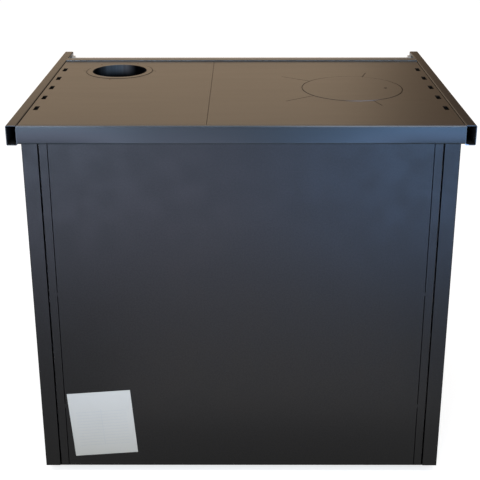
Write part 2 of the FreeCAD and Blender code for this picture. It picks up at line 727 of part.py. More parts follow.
def build_casing():
    """Side panels with return flanges, rear posts, back panel, fascia, base and feet."""
    wall_top = HOB_UNDER_Z
    wall_height = f"{wall_top} - foot_height"
    for side, name in ((-1, "left"), (1, "right")):
        profile = [
            (f"{side} * {CASE_X}", CASE_FRONT_Y),
            (f"{side} * {CASE_X}", CASE_BACK_Y),
            (f"{side} * {FLANGE_X}", CASE_BACK_Y),
            (f"{side} * {FLANGE_X}", f"{CASE_BACK_Y} - casing_sheet"),
            (f"{side} * ({CASE_X} - casing_sheet)", f"{CASE_BACK_Y} - casing_sheet"),
            (f"{side} * ({CASE_X} - casing_sheet)", f"{CASE_FRONT_Y} + casing_sheet"),
            (f"{side} * ({CASE_X} - front_flange)", f"{CASE_FRONT_Y} + casing_sheet"),
            (f"{side} * ({CASE_X} - front_flange)", CASE_FRONT_Y),
        ]
        corner = f"{side} * {CASE_X}"
        node(
            folded(
                f"side_panel_{name}", "XY", profile, wall_height, ("0", "0", "foot_height"),
                bends=[(lambda e: runs_along(e, "Z") and at(e, x=corner, y=CASE_BACK_Y), "casing_sheet")],
            )
        )

    panel_foot = "(foot_height + panel_lift)"
    posts = []
    for side, name in ((-1, "left"), (1, "right")):
        profile = [
            (f"{side} * {POST_X}", CASE_BACK_Y),
            (f"{side} * {PANEL_X}", CASE_BACK_Y),
            (f"{side} * {PANEL_X}", CARCASS_BACK_Y),
            (f"{side} * ({PANEL_X} + casing_sheet)", CARCASS_BACK_Y),
            (f"{side} * ({PANEL_X} + casing_sheet)", f"{CASE_BACK_Y} - casing_sheet"),
            (f"{side} * {POST_X}", f"{CASE_BACK_Y} - casing_sheet"),
        ]
        start = ("0", "0", panel_foot)
        posts.append(folded(f"rear_post_{name}", "XY", profile, f"{wall_top} - {panel_foot}", start))
    node(group("rear_posts", *posts))

    edge = f"({PANEL_X} - panel_gap)"
    tray = [
        (f"-{edge}", CASE_BACK_Y),
        (edge, CASE_BACK_Y),
        (edge, f"{CASE_BACK_Y} - panel_return"),
        (f"{edge} - casing_sheet", f"{CASE_BACK_Y} - panel_return"),
        (f"{edge} - casing_sheet", f"{CASE_BACK_Y} - casing_sheet"),
        (f"casing_sheet - {edge}", f"{CASE_BACK_Y} - casing_sheet"),
        (f"casing_sheet - {edge}", f"{CASE_BACK_Y} - panel_return"),
        (f"-{edge}", f"{CASE_BACK_Y} - panel_return"),
    ]
    node(folded("back_panel", "XY", tray, f"{wall_top} - {panel_foot}", ("0", "0", panel_foot)))

    clips = []
    for side, name in ((-1, "left"), (1, "right")):
        x = (edge, PANEL_X) if side > 0 else (f"-{PANEL_X}", f"-{edge}")
        for row in (0, 1):
            clip_z = f"({HOB_Z} - clip_drop - {row} * clip_pitch)"
            z = (f"{clip_z} - clip_height / 2", f"{clip_z} + clip_height / 2")
            y = (f"{CASE_BACK_Y} - casing_sheet - clip_depth", f"{CASE_BACK_Y} - casing_sheet")
            clips.append(block(f"panel_clip_{name}_{row}", x, y, z))
    node(group("panel_clips", *clips))

    # The blank paper label is stuck on a little askew, low on the flue side of the back panel.
    label = doc.addObject("Part::Box", "rating_label")
    bind(label, "Length", "label_width")
    bind(label, "Width", "label_paper")
    bind(label, "Height", "label_height")
    label.Placement = FreeCAD.Placement(Vector(), Rotation(Vector(0, 1, 0), value("label_tilt")))
    half_x = "(label_width / 2 * cos(label_tilt) + label_height / 2 * sin(label_tilt))"
    half_z = "(label_height / 2 * cos(label_tilt) - label_width / 2 * sin(label_tilt))"
    place(label, f"{LABEL_X} - {half_x}", CASE_BACK_Y, f"{HOB_Z} - label_drop - {half_z}")
    node(label)

    mouths = (
        ("fire", FIRE_MOUTH_X, FIRE_MOUTH_Z),
        ("ash", ASH_MOUTH_X, ASH_MOUTH_Z),
        ("oven", OVEN_MOUTH_X, OVEN_MOUTH_Z),
        ("hatch", HATCH_MOUTH_X, HATCH_MOUTH_Z),
        ("wood", WOOD_MOUTH_X, WOOD_MOUTH_Z),
    )
    sheets = (
        ("fascia", CASE_X, (FASCIA_Y, CASE_FRONT_Y), f"{HOB_Z} + rim_lift - rail_sheet", "foot_height"),
        ("carcass_front", CARCASS_X, (CASE_FRONT_Y, INNER_FRONT_Y), HOB_UNDER_Z, BASE_Z),
    )
    for name, half, y, top, foot in sheets:
        blank = block(f"{name}_blank", (f"-{half}", half), y, (foot, top))
        holes = [block(f"{name}_{mouth}_mouth", x, y, z) for mouth, x, z in mouths]
        holes.append(rod(f"{name}_rod_hole", "Y", DAMPER_X, y, ROD_Z, "damper_rod + 2 * pivot_clearance"))
        node(less(name, blank, *holes))

    inner = f"({CASE_X} - casing_sheet)"
    base_y = (f"({CASE_FRONT_Y} + casing_sheet)", f"({CASE_BACK_Y} - casing_sheet)")
    node(block("base_plate", (f"-{inner}", inner), base_y, ("foot_height", BASE_Z)))
    foot = [
        ("0", "0"),
        ("foot_diameter / 2", "0"),
        ("foot_diameter / 2", "foot_pad"),
        ("foot_stem / 2", "foot_pad"),
        ("foot_stem / 2", "foot_height"),
        ("0", "foot_height"),
    ]
    feet = []
    for x_side in (-1, 1):
        for y_name, y in (("front", f"{CASE_FRONT_Y} + foot_inset"), ("rear", f"{CASE_BACK_Y} - foot_inset")):
            x_name = "left" if x_side < 0 else "right"
            centre = (f"{x_side} * ({CASE_X} - foot_inset)", y, "0")
            feet.append(turned(f"foot_{x_name}_{y_name}", foot, centre))
    node(group("feet", *feet))


def build_carcass():
    """The welded inner body: side, rear and dividing walls and the deck over the wood drawer."""
    depth = (INNER_FRONT_Y, INNER_BACK_Y)
    walls = []
    for side, name in ((-1, "left"), (1, "right")):
        x = (INNER_X, CARCASS_X) if side > 0 else (f"-{CARCASS_X}", f"-{INNER_X}")
        walls.append(block(f"carcass_wall_{name}", x, depth, (BASE_Z, HOB_UNDER_Z)))
    node(group("carcass_walls", *walls))
    rear_y = (INNER_BACK_Y, CARCASS_BACK_Y)
    node(block("carcass_rear", (f"-{CARCASS_X}", CARCASS_X), rear_y, (BASE_Z, HOB_UNDER_Z)))
    node(block("carcass_deck", (f"-{INNER_X}", INNER_X), depth, (f"{DECK_Z} - carcass_sheet", DECK_Z)))
    wall_x = (FIRE_WALL_X, f"{FIRE_WALL_X} + carcass_sheet")
    node(block("fire_wall", wall_x, depth, (DECK_Z, OVEN_TOP_Z)))


def build_firebox():
    """Firebricks round the fire, the grate and the plate that carries them."""
    brick_top = f"({HOB_UNDER_Z} - brick_drop)"
    height = (GRATE_Z, brick_top)
    side_y = (f"({INNER_FRONT_Y} + brick_setback)", f"({INNER_BACK_Y} - brick_thickness)")
    left = block("firebrick_left", (f"-{INNER_X}", FIRE_LEFT_X), side_y, height)
    right = block("firebrick_right", (FIRE_RIGHT_X, FIRE_WALL_X), side_y, height)
    node(group("firebricks_side", left, right))
    rear_y = (side_y[1], INNER_BACK_Y)
    node(block("firebrick_rear", (f"-{INNER_X}", FIRE_WALL_X), rear_y, height))

    hole_x = (f"{GRATE_X[0]} + grate_seat", f"{GRATE_X[1]} - grate_seat")
    hole_y = (f"{GRATE_Y[0]} + grate_seat", f"{GRATE_Y[1]} - grate_seat")
    plate_z = (f"({GRATE_Z} - grate_plate)", GRATE_Z)
    frame = block("grate_frame_blank", (f"-{INNER_X}", FIRE_WALL_X), (INNER_FRONT_Y, INNER_BACK_Y), plate_z)
    node(less("grate_frame", frame, block("grate_frame_hole", hole_x, hole_y, plate_z)))

    grate_z = (GRATE_Z, f"{GRATE_Z} + grate_thickness")
    casting = block("grate_blank", GRATE_X, GRATE_Y, grate_z)
    pitch = value("grate_bar + grate_slot")
    count = int((value(f"{hole_x[1]} - ({hole_x[0]})") + value("grate_bar")) // pitch)
    middle = f"(({GRATE_X[0]} + {GRATE_X[1]}) / 2)"
    slots = []
    for i in range(count):
        x = f"({middle} + {i - (count - 1) / 2} * (grate_bar + grate_slot))"
        slot_x = (f"{x} - grate_slot / 2", f"{x} + grate_slot / 2")
        slots.append(block(f"grate_slot_{i}", slot_x, hole_y, grate_z))
    node(less("grate", casting, *slots))


def shelf_z(level):
    """The height of a pair of shelf ribs. The lowest pair lets the baking tray hang clear of the floor."""
    lowest = f"{OVEN_FLOOR_Z} + oven_sheet + tray_floor_gap + tray_depth"
    return f"({lowest} + {level - 1} * shelf_pitch)"


def build_oven():
    """Folded oven box with shelf ribs, a wire rack and a baking tray."""
    x = (OVEN_LEFT_X, OVEN_RIGHT_X)
    y = (INNER_FRONT_Y, OVEN_BACK_Y)
    inner_y = (INNER_FRONT_Y, f"{OVEN_BACK_Y} - oven_sheet")
    box = shell(
        "oven_shell", x, y, (OVEN_FLOOR_Z, OVEN_TOP_Z), "oven_sheet", inner_y=inner_y, open_top=False
    )
    inside = (f"({OVEN_LEFT_X} + oven_sheet)", f"({OVEN_RIGHT_X} - oven_sheet)")
    ribs = []
    for level in SHELF_LEVELS:
        z = shelf_z(level)
        rib_z = (f"{z} - shelf_rib_height", z)
        left_x = (inside[0], f"{inside[0]} + shelf_rib")
        right_x = (f"{inside[1]} - shelf_rib", inside[1])
        ribs.append(block(f"shelf_rib_left_{level}", left_x, inner_y, rib_z))
        ribs.append(block(f"shelf_rib_right_{level}", right_x, inner_y, rib_z))
    node(joined("oven_box", box, *ribs))

    span_x = (f"({inside[0]} + shelf_play)", f"({inside[1]} - shelf_play)")
    span_y = (f"({INNER_FRONT_Y} + shelf_play)", f"({inner_y[1]} - shelf_play)")
    wire_z = f"({shelf_z(RACK_LEVEL)} + shelf_wire / 2)"
    half = "shelf_wire / 2"
    wires = [
        rod("rack_front", "X", span_x, f"{span_y[0]} + {half}", wire_z, "shelf_wire"),
        rod("rack_back", "X", span_x, f"{span_y[1]} - {half}", wire_z, "shelf_wire"),
    ]
    run = value(f"{span_x[1]} - {span_x[0]} - shelf_wire")
    gaps = max(1, round(run / value("shelf_wire_pitch")))
    for i in range(gaps + 1):
        wire_x = f"({span_x[0]} + {half} + {i} * ({span_x[1]} - {span_x[0]} - shelf_wire) / {gaps})"
        ends = (f"{span_y[0]} + {half}", f"{span_y[1]} - {half}")
        wires.append(rod(f"rack_bar_{i}", "Y", wire_x, ends, f"{wire_z} + rack_bar_rise", "rack_bar"))
    node(joined("oven_rack", *wires))

    rest_z = shelf_z(TRAY_LEVEL)
    tray_y = (f"({INNER_FRONT_Y} + tray_setback)", f"({inner_y[1]} - shelf_play)")
    rim = block("tray_rim_blank", span_x, tray_y, (rest_z, f"{rest_z} + tray_sheet"))
    pan_x = (f"({span_x[0]} + tray_rim)", f"({span_x[1]} - tray_rim)")
    pan_y = (f"({tray_y[0]} + tray_rim)", f"({tray_y[1]} - tray_rim)")
    pan_z = (f"{rest_z} + tray_sheet - tray_depth", f"{rest_z} + tray_sheet")
    pan = block("tray_pan_blank", pan_x, pan_y, pan_z)
    hollow_x = (f"{pan_x[0]} + tray_sheet", f"{pan_x[1]} - tray_sheet")
    hollow_y = (f"{pan_y[0]} + tray_sheet", f"{pan_y[1]} - tray_sheet")
    hollow_z = (f"{rest_z} + 2 * tray_sheet - tray_depth", f"{rest_z} + tray_sheet")
    hollow = block("tray_hollow", hollow_x, hollow_y, hollow_z)
    node(less("baking_tray", joined("tray_blank", rim, pan), hollow))


def build_smoke_control():
    """Baffles that lead the smoke round the oven, and the damper that lets it go straight to the flue."""
    wall_y = (PARTITION_FRONT_Y, PARTITION_BACK_Y)
    upper_x = (f"({DAMPER_X} - partition_wing)", INNER_X)
    upper = block("partition_upper", upper_x, wall_y, (OVEN_TOP_Z, HOB_UNDER_Z))
    lower_z = (OVEN_FLOOR_Z, OVEN_TOP_Z)
    lower = block("partition_lower", (OVEN_RIGHT_X, INNER_X), wall_y, lower_z)
    bearing = rod("partition_bearing", "Y", DAMPER_X, wall_y, ROD_Z, "damper_rod + 2 * pivot_clearance")
    partition = less("partition", joined("partition_blank", upper, lower), bearing)
    baffle_x = (f"({DAMPER_X} - damper_sheet / 2)", f"({DAMPER_X} + damper_sheet / 2)")
    baffle_z = (OVEN_TOP_Z, f"{ROD_Z} - damper_sleeve / 2 - damper_sheet / 2")
    baffle = block("flue_baffle", baffle_x, (INNER_FRONT_Y, wall_y[0]), baffle_z)
    node(group("smoke_baffles", partition, baffle))

    flap_y = (f"({INNER_FRONT_Y} + running_gap)", f"({wall_y[0]} - running_gap)")
    sleeve = rod("damper_sleeve_tube", "Y", DAMPER_X, flap_y, ROD_Z, "damper_sleeve")
    blade = block("damper_blade", baffle_x, flap_y, (ROD_Z, f"{ROD_Z} + damper_reach"))
    bore = rod("damper_bore", "Y", DAMPER_X, flap_y, ROD_Z, "damper_rod + 2 * pivot_clearance")
    node(less("damper_flap", joined("damper_blank", sleeve, blade), bore))
    knob_y = f"({FASCIA_Y} - damper_knob_gap)"
    rod_y = (f"({knob_y} - knob_socket)", PARTITION_BACK_Y)
    node(rod("damper_rod", "Y", DAMPER_X, rod_y, ROD_Z, "damper_rod"))
    socket = "(damper_rod / 2 + pivot_clearance)"
    knob = [
        (socket, "0"),
        *knob_profile("damper_knob_diameter", "damper_knob_length"),
        ("0", "knob_socket"),
        (socket, "knob_socket"),
    ]
    node(turned("damper_knob", knob, (DAMPER_X, knob_y, ROD_Z), axis="-Y"))


def door_leaf(name, x, z, window_x, window_z, hinge_side, *holes):
    """A cast door: a skin with a deep rim, a window and two hinge knuckles on one edge."""
    y = (DOOR_FRONT_Y, DOOR_BACK_Y)
    blank = block(f"{name}_blank", x, y, z)
    leaf = rounded(f"{name}_leaf", blank, "door_bevel", lambda e: at(e, y=DOOR_FRONT_Y))
    hollow_x = (f"{x[0]} + door_rim", f"{x[1]} - door_rim")
    hollow_z = (f"{z[0]} + door_rim", f"{z[1]} - door_rim")
    hollow = block(f"{name}_hollow", hollow_x, (DOOR_SKIN_Y, DOOR_BACK_Y), hollow_z)
    window = block(f"{name}_window", window_x, (DOOR_FRONT_Y, DOOR_SKIN_Y), window_z)
    tray = less(f"{name}_tray", leaf, hollow, window, *holes)
    axis_x = HINGE_X if hinge_side > 0 else f"-{HINGE_X}"
    edge_x = x[1] if hinge_side > 0 else x[0]
    arms = []
    bores = []
    for end, level in hinge_levels(z):
        knuckle_z = (f"{level} - hinge_barrel / 2", f"{level} + hinge_barrel / 2")
        arms.append(rod(f"{name}_knuckle_{end}", "Z", axis_x, HINGE_Y, knuckle_z, "hinge_knuckle"))
        web_x = (edge_x, axis_x) if hinge_side > 0 else (axis_x, edge_x)
        web_y = (f"{HINGE_Y} - hinge_web / 2", f"{HINGE_Y} + hinge_web / 2")
        arms.append(block(f"{name}_web_{end}", web_x, web_y, knuckle_z))
        bore = "hinge_pin + 2 * pivot_clearance"
        bores.append(rod(f"{name}_bore_{end}", "Z", axis_x, HINGE_Y, knuckle_z, bore))
    return less(name, joined(f"{name}_body", tray, *arms), *bores)


def hinge_levels(z):
    """Where a door's two hinges stand, as (name, height)."""
    return (("low", f"({z[0]} + hinge_margin)"), ("high", f"({z[1]} - hinge_margin)"))


def door_gasket(name, x, z):
    """The rope seal in the door's rim, which stops just short of the fascia."""
    y = (f"({FASCIA_Y} - gasket_depth)", f"({FASCIA_Y} - running_gap)")
    inset = "(door_rim - gasket_width) / 2"
    span_x = (f"({x[0]} + {inset})", f"({x[1]} - {inset})")
    span_z = (f"({z[0]} + {inset})", f"({z[1]} - {inset})")
    return ring(name, span_x, y, span_z, "gasket_width")


def pane(name, window_x, window_z):
    """The glass behind a door's window, and four clips that hold it by its corners."""
    x = (f"({window_x[0]} - glass_lap)", f"({window_x[1]} + glass_lap)")
    z = (f"({window_z[0]} - glass_lap)", f"({window_z[1]} + glass_lap)")
    front = f"({DOOR_SKIN_Y} + glass_clearance)"
    back = f"({front} + glass_thickness)"
    node(block(name, x, (front, back), z))
    return x, z, back


def pane_clips(name, x, z, back):
    """Bent clips: a foot screwed to the door's skin beside the glass, and a tongue over its edge."""
    clips = []
    tongue_y = (f"({back} + glass_clearance)", f"({back} + glass_clearance + clip_plate)")
    for z_name, middle in (("low", f"({z[0]} + clip_span)"), ("high", f"({z[1]} - clip_span)")):
        clip_z = (f"{middle} - clip_span / 2", f"{middle} + clip_span / 2")
        for side, edge in ((-1, x[0]), (1, x[1])):
            out = f"({edge} + {side} * (glass_clearance + clip_plate))"
            lap = f"({edge} - {side} * glass_lap)"
            foot = f"({edge} + {side} * glass_clearance)"
            tongue_x = (lap, out) if side > 0 else (out, lap)
            foot_x = (foot, out) if side > 0 else (out, foot)
            word = f"{name}_{z_name}_{'right' if side > 0 else 'left'}"
            tongue = block(f"{word}_tongue", tongue_x, tongue_y, clip_z)
            stand = block(f"{word}_foot", foot_x, (DOOR_SKIN_Y, tongue_y[1]), clip_z)
            head_y = (tongue_y[1], f"{tongue_y[1]} + clip_plate")
            head = rod(f"{word}_screw", "Y", f"({lap} + {out}) / 2", head_y, middle, "clip_screw")
            clips.append(joined(word, tongue, stand, head))
    return node(group(name, *clips))


def build_fire_door():
    """Fire door with its window, seal and the lever whose tongue turns behind the front plate."""
    window_x = (f"({FIRE_DOOR_X[0]} + window_margin)", f"({FIRE_DOOR_X[1]} - window_margin)")
    window_z = (f"({FIRE_DOOR_Z[0]} + window_margin)", f"({FIRE_DOOR_Z[1]} - fire_window_top)")
    hole_y = (DOOR_FRONT_Y, DOOR_SKIN_Y)
    hole_size = "latch_spindle + 2 * pivot_clearance"
    spindle_hole = rod("latch_hole", "Y", LATCH_X, hole_y, LATCH_Z, hole_size)
    node(door_leaf("fire_door", FIRE_DOOR_X, FIRE_DOOR_Z, window_x, window_z, -1, spindle_hole))
    node(door_gasket("fire_door_gasket", FIRE_DOOR_X, FIRE_DOOR_Z))
    pane_clips("fire_door_clips", *pane("fire_door_glass", window_x, window_z))

    tongue_back = f"({INNER_FRONT_Y} + running_gap + latch_tongue_plate)"
    boss_y = (f"({DOOR_FRONT_Y} - lever_standoff)", f"({DOOR_FRONT_Y} - running_gap)")
    spindle_y = (boss_y[0], tongue_back)
    spindle = rod("latch_spindle_bar", "Y", LATCH_X, spindle_y, LATCH_Z, "latch_spindle")
    boss = rod("latch_boss_disc", "Y", LATCH_X, boss_y, LATCH_Z, "latch_boss")
    lever_y = f"({boss_y[0]} + lever_diameter / 2)"
    lever_x = (f"({LATCH_X} - lever_length)", LATCH_X)
    lever = rod("latch_lever_bar", "X", lever_x, lever_y, LATCH_Z, "lever_diameter")
    tip = doc.addObject("Part::Sphere", "latch_lever_tip")
    bind(tip, "Radius", "lever_diameter / 2")
    place(tip, lever_x[0], lever_y, LATCH_Z)
    tongue_x = (f"{LATCH_X} - latch_tongue_width / 2", f"{LATCH_X} + latch_tongue_width / 2")
    tongue_y = (f"({tongue_back} - latch_tongue_plate)", tongue_back)
    tongue_z = (f"{LATCH_Z} - latch_tongue", f"{LATCH_Z} + latch_tongue_width / 2")
    tongue = block("latch_tongue_plate", tongue_x, tongue_y, tongue_z)
    node(joined("fire_door_handle", spindle, boss, lever, tip, tongue))


def bar_handle(name, axis, x, face, z, span):
    """A round bar on two posts, standing off the face behind it."""
    bar_y = f"({face} - handle_standoff)"
    along = x if axis == "X" else z
    ends = (f"({along} - {span} / 2)", f"({along} + {span} / 2)")
    spot = {"X": (ends, z), "Z": (x, ends)}[axis]
    bar = rounded(
        f"{name}_bar",
        rod(f"{name}_blank", axis, spot[0], bar_y, spot[1], "handle_diameter"),
        "handle_ease",
        lambda e: e.Curve.TypeId == "Part::GeomCircle",
    )
    posts = []
    for end, side in (("low", -1), ("high", 1)):
        middle = f"({along} + {side} * ({span} / 2 - handle_inset))"
        post_x, post_z = (middle, z) if axis == "X" else (x, middle)
        posts.append(rod(f"{name}_post_{end}", "Y", post_x, (bar_y, face), post_z, "handle_post"))
    return node(joined(name, bar, *posts))


def build_oven_door():
    """Oven door with its window, seal, bar handle and thermometer."""
    window_x = (f"({OVEN_DOOR_X[0]} + window_margin)", f"({OVEN_DOOR_X[1]} - window_margin)")
    window_z = (f"({OVEN_DOOR_Z[0]} + window_margin)", f"({OVEN_DOOR_Z[1]} - oven_window_top)")
    node(door_leaf("oven_door", OVEN_DOOR_X, OVEN_DOOR_Z, window_x, window_z, 1))
    node(door_gasket("oven_door_gasket", OVEN_DOOR_X, OVEN_DOOR_Z))
    pane_clips("oven_door_clips", *pane("oven_door_glass", window_x, window_z))
    handle_x = f"({OVEN_DOOR_X[0]} + oven_handle_inset)"
    handle_z = f"(({window_z[0]} + {window_z[1]}) / 2)"
    bar_handle("oven_door_handle", "Z", handle_x, DOOR_FRONT_Y, handle_z, "oven_handle_span")

    centre = (DIAL_X, DOOR_FRONT_Y, DIAL_Z)
    rim = "(dial_diameter / 2)"
    cup = [
        ("0", "0"),
        (rim, "0"),
        (rim, "dial_depth"),
        (f"{rim} - dial_wall", "dial_depth"),
        (f"{rim} - dial_wall", "dial_face"),
        ("dial_hub / 2", "dial_face"),
        ("dial_hub / 2", "dial_face + needle_plate + 2 * running_gap"),
        ("0", "dial_face + needle_plate + 2 * running_gap"),
    ]
    node(turned("thermometer_case", cup, centre, axis="-Y"))
    seat = f"({rim} - dial_wall - plug_clearance)"
    lens = [
        ("0", "dial_depth - dial_lens"),
        (seat, "dial_depth - dial_lens"),
        (seat, "dial_depth"),
        ("0", "dial_depth"),
    ]
    node(turned("thermometer_lens", lens, centre, axis="-Y"))
    needle_y = f"({DOOR_FRONT_Y} - dial_face - running_gap)"
    needle_span = (f"({needle_y} - needle_plate)", needle_y)
    needle_x = (f"{DIAL_X} - needle_width / 2", f"{DIAL_X} + needle_width / 2")
    needle_z = (f"{DIAL_Z} - needle_tail", f"{DIAL_Z} + {rim} - 2 * dial_wall")
    blade = block("needle_blade", needle_x, needle_span, needle_z)
    eye = rod("needle_eye", "Y", DIAL_X, needle_span, DIAL_Z, "2 * dial_hub")
    bore = rod("needle_bore", "Y", DIAL_X, needle_span, DIAL_Z, "dial_hub + 2 * pivot_clearance")
    node(less("thermometer_needle", joined("needle_blank", blade, eye), bore))


def build_hinges():
    """Two ears and a loose pin for each door knuckle, on the fascia beside the doors."""
    ears = []
    pins = []
    for side, door_z, door in ((-1, FIRE_DOOR_Z, "fire"), (1, OVEN_DOOR_Z, "oven")):
        axis_x = f"({side} * {HINGE_X})"
        half = "hinge_knuckle / 2"
        for end, level in hinge_levels(door_z):
            inner = "(hinge_barrel / 2 + hinge_play)"
            feet = {"under": f"({level} - {inner} - hinge_ear)", "over": f"({level} + {inner})"}
            for part, foot in feet.items():
                name = f"{door}_hinge_{end}_{part}"
                z = (foot, f"{foot} + hinge_ear")
                arm_x = (f"{axis_x} - {half}", f"{axis_x} + {half}")
                arm = block(f"{name}_arm", arm_x, (HINGE_Y, FASCIA_Y), z)
                eye = rod(f"{name}_eye", "Z", axis_x, HINGE_Y, z, "hinge_knuckle")
                bore = rod(f"{name}_bore", "Z", axis_x, HINGE_Y, z, "hinge_pin + 2 * pivot_clearance")
                ears.append(less(name, joined(f"{name}_blank", arm, eye), bore))
            reach = f"({inner} + hinge_ear)"
            pin_z = (f"{level} - {reach}", f"{level} + {reach}")
            shank = rod(f"{door}_hinge_{end}_shank", "Z", axis_x, HINGE_Y, pin_z, "hinge_pin")
            head_z = (pin_z[1], f"{pin_z[1]} + hinge_head_height")
            head = rod(f"{door}_hinge_{end}_head", "Z", axis_x, HINGE_Y, head_z, "hinge_head")
            pins.append(joined(f"{door}_hinge_{end}_pin", shank, head))
    node(group("door_hinges", *ears))
    node(group("hinge_pins", *pins))


def folded_front(name, x, z, *holes):
    """A drawer front folded from sheet, with a return flange all round that the drawer's box meets."""
    y = (DRAWER_FRONT_Y, DRAWER_BACK_Y)
    blank = block(f"{name}_blank", x, y, z)
    face = rounded(f"{name}_face", blank, "front_bevel", lambda e: at(e, y=DRAWER_FRONT_Y))
    hollow_x = (f"{x[0]} + front_sheet", f"{x[1]} - front_sheet")
    hollow_y = (f"{y[0]} + front_sheet", f"{y[1]} - front_sheet")
    hollow_z = (f"{z[0]} + front_sheet", f"{z[1]} - front_sheet")
    hollow = block(f"{name}_hollow", hollow_x, hollow_y, hollow_z)
    back_x = (f"{x[0]} + front_return", f"{x[1]} - front_return")
    back_z = (f"{z[0]} + front_return", f"{z[1]} - front_return")
    back = block(f"{name}_back", back_x, (hollow_y[1], y[1]), back_z)
    return node(less(name, face, hollow, back, *holes))


def build_ash_drawer():
    """Ash pan with its front, and the turning air valve and bar handle on that front."""
    pan_y = (DRAWER_BACK_Y, f"({INNER_BACK_Y} - pan_setback)")
    pan_z = (f"({DECK_Z} + running_gap)", PAN_TOP_Z)
    node(shell("ash_pan", PAN_X, pan_y, pan_z, "drawer_sheet"))
    skin_y = (DRAWER_FRONT_Y, f"({DRAWER_FRONT_Y} + front_sheet)")
    ports = []
    valve_y = (f"({DRAWER_FRONT_Y} - running_gap - valve_plate)", f"({DRAWER_FRONT_Y} - running_gap)")
    valve_ports = []
    for angle in PORT_ANGLES:
        x = f"({VALVE_X} + valve_port_offset * cos({angle}))"
        z = f"({VALVE_Z} + valve_port_offset * sin({angle}))"
        ports.append(rod(f"air_port_{angle}", "Y", x, skin_y, z, "valve_port"))
        valve_ports.append(rod(f"valve_port_{angle}", "Y", x, valve_y, z, "valve_port"))
    stud_hole = "valve_stud + 2 * pivot_clearance"
    ports.append(rod("valve_stud_hole", "Y", VALVE_X, skin_y, VALVE_Z, stud_hole))
    folded_front("ash_drawer_front", FIRE_DOOR_X, (ASH_FRONT_FOOT_Z, ASH_FRONT_TOP_Z), *ports)
    plate = rod("valve_plate_disc", "Y", VALVE_X, valve_y, VALVE_Z, "valve_diameter")
    collar_y = (f"({skin_y[1]} + running_gap)", f"({skin_y[1]} + running_gap + valve_collar_length)")
    collar = rod("valve_collar_disc", "Y", VALVE_X, collar_y, VALVE_Z, "valve_collar")
    stud = rod("valve_stud_bar", "Y", VALVE_X, (valve_y[1], collar_y[1]), VALVE_Z, "valve_stud")
    knob = [("0", "0"), *knob_profile("valve_knob_diameter", "valve_knob_length")]
    grip = turned("valve_knob", knob, (VALVE_X, valve_y[0], VALVE_Z), axis="-Y")
    node(less("air_valve", joined("valve_blank", plate, stud, collar, grip), *valve_ports))
    handle_z = f"(({ASH_FRONT_FOOT_Z} + {VALVE_Z} - valve_diameter / 2) / 2)"
    bar_handle("ash_drawer_handle", "X", VALVE_X, DRAWER_FRONT_Y, handle_z, "ash_handle_span")


def build_wood_drawer():
    """The wood drawer across the foot of the stove, on two runners."""
    runner_z = (BASE_Z, RUNNER_Z)
    runner_y = (f"({INNER_FRONT_Y} + wood_drawer_play)", f"({INNER_BACK_Y} - wood_drawer_setback)")
    runners = []
    for side, name in ((-1, "left"), (1, "right")):
        near, far = f"({WOOD_X} - runner_width)", WOOD_X
        x = (near, far) if side > 0 else (f"-{far}", f"-{near}")
        runners.append(block(f"runner_{name}", x, runner_y, runner_z))
    node(group("drawer_runners", *runners))
    box_z = (f"({RUNNER_Z} + running_gap)", WOOD_BOX_TOP_Z)
    box_y = (DRAWER_BACK_Y, f"({INNER_BACK_Y} - wood_drawer_setback)")
    node(shell("wood_drawer", (f"-{WOOD_X}", WOOD_X), box_y, box_z, "drawer_sheet"))
    front_x = (FIRE_DOOR_X[0], OVEN_DOOR_X[1])
    folded_front("wood_drawer_front", front_x, (WOOD_FRONT_FOOT_Z, WOOD_FRONT_TOP_Z))
    handle_z = f"(({WOOD_FRONT_FOOT_Z} + {WOOD_FRONT_TOP_Z}) / 2 + handle_standoff)"
    bar_handle("wood_drawer_handle", "X", "0", DRAWER_FRONT_Y, handle_z, "wood_handle_span")


def build_soot_hatch():
    """The cleaning hatch under the oven: a cover with a plug and a small knob."""
    y = (f"({DRAWER_BACK_Y} - hatch_plate)", DRAWER_BACK_Y)
    cover = block("hatch_cover", HATCH_COVER_X, y, (HATCH_FOOT_Z, HATCH_TOP_Z))
    plug_x = (f"({HATCH_MOUTH_X[0]} + shelf_play)", f"({HATCH_MOUTH_X[1]} - shelf_play)")
    plug_z = (f"({HATCH_MOUTH_Z[0]} + shelf_play)", f"({HATCH_MOUTH_Z[1]} - shelf_play)")
    plug = block("hatch_plug_block", plug_x, (y[1], f"{y[1]} + hatch_plug"), plug_z)
    knob = [("0", "0"), *knob_profile("hatch_knob_diameter", "hatch_knob_length")]
    middle = f"(({HATCH_FOOT_Z} + {HATCH_TOP_Z}) / 2)"
    pull = turned("hatch_knob", knob, (HATCH_X, y[0], middle), axis="-Y")
    node(joined("soot_hatch", cover, plug, pull))


def check():
    """Stops the build if any object failed or any sub-part is not a set of good solids."""
    doc.recompute()
    broken = [o.Label for o in doc.Objects if {"Invalid", "Error"} & set(o.State)]
    if broken:
        raise SystemExit(f"failed objects: {broken}")
    for thing in nodes:
        shape = thing.Shape
        if shape.isNull() or not shape.isValid() or not shape.Solids:
            raise SystemExit(f"bad shape: {thing.Label}")


def write():
    os.makedirs("parts", exist_ok=True)
    for thing in nodes:
        thing.Shape.exportStep(f"parts/{thing.Label}.step")
    print(len(nodes), "sub-parts,", sum(len(n.Shape.Solids) for n in nodes), "solids")


build_top_frame()
build_hob()
build_casing()
build_carcass()
build_firebox()
build_oven()
build_smoke_control()
build_fire_door()
build_oven_door()
build_hinges()
build_ash_drawer()
build_wood_drawer()
build_soot_hatch()
check()
write()
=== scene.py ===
import math

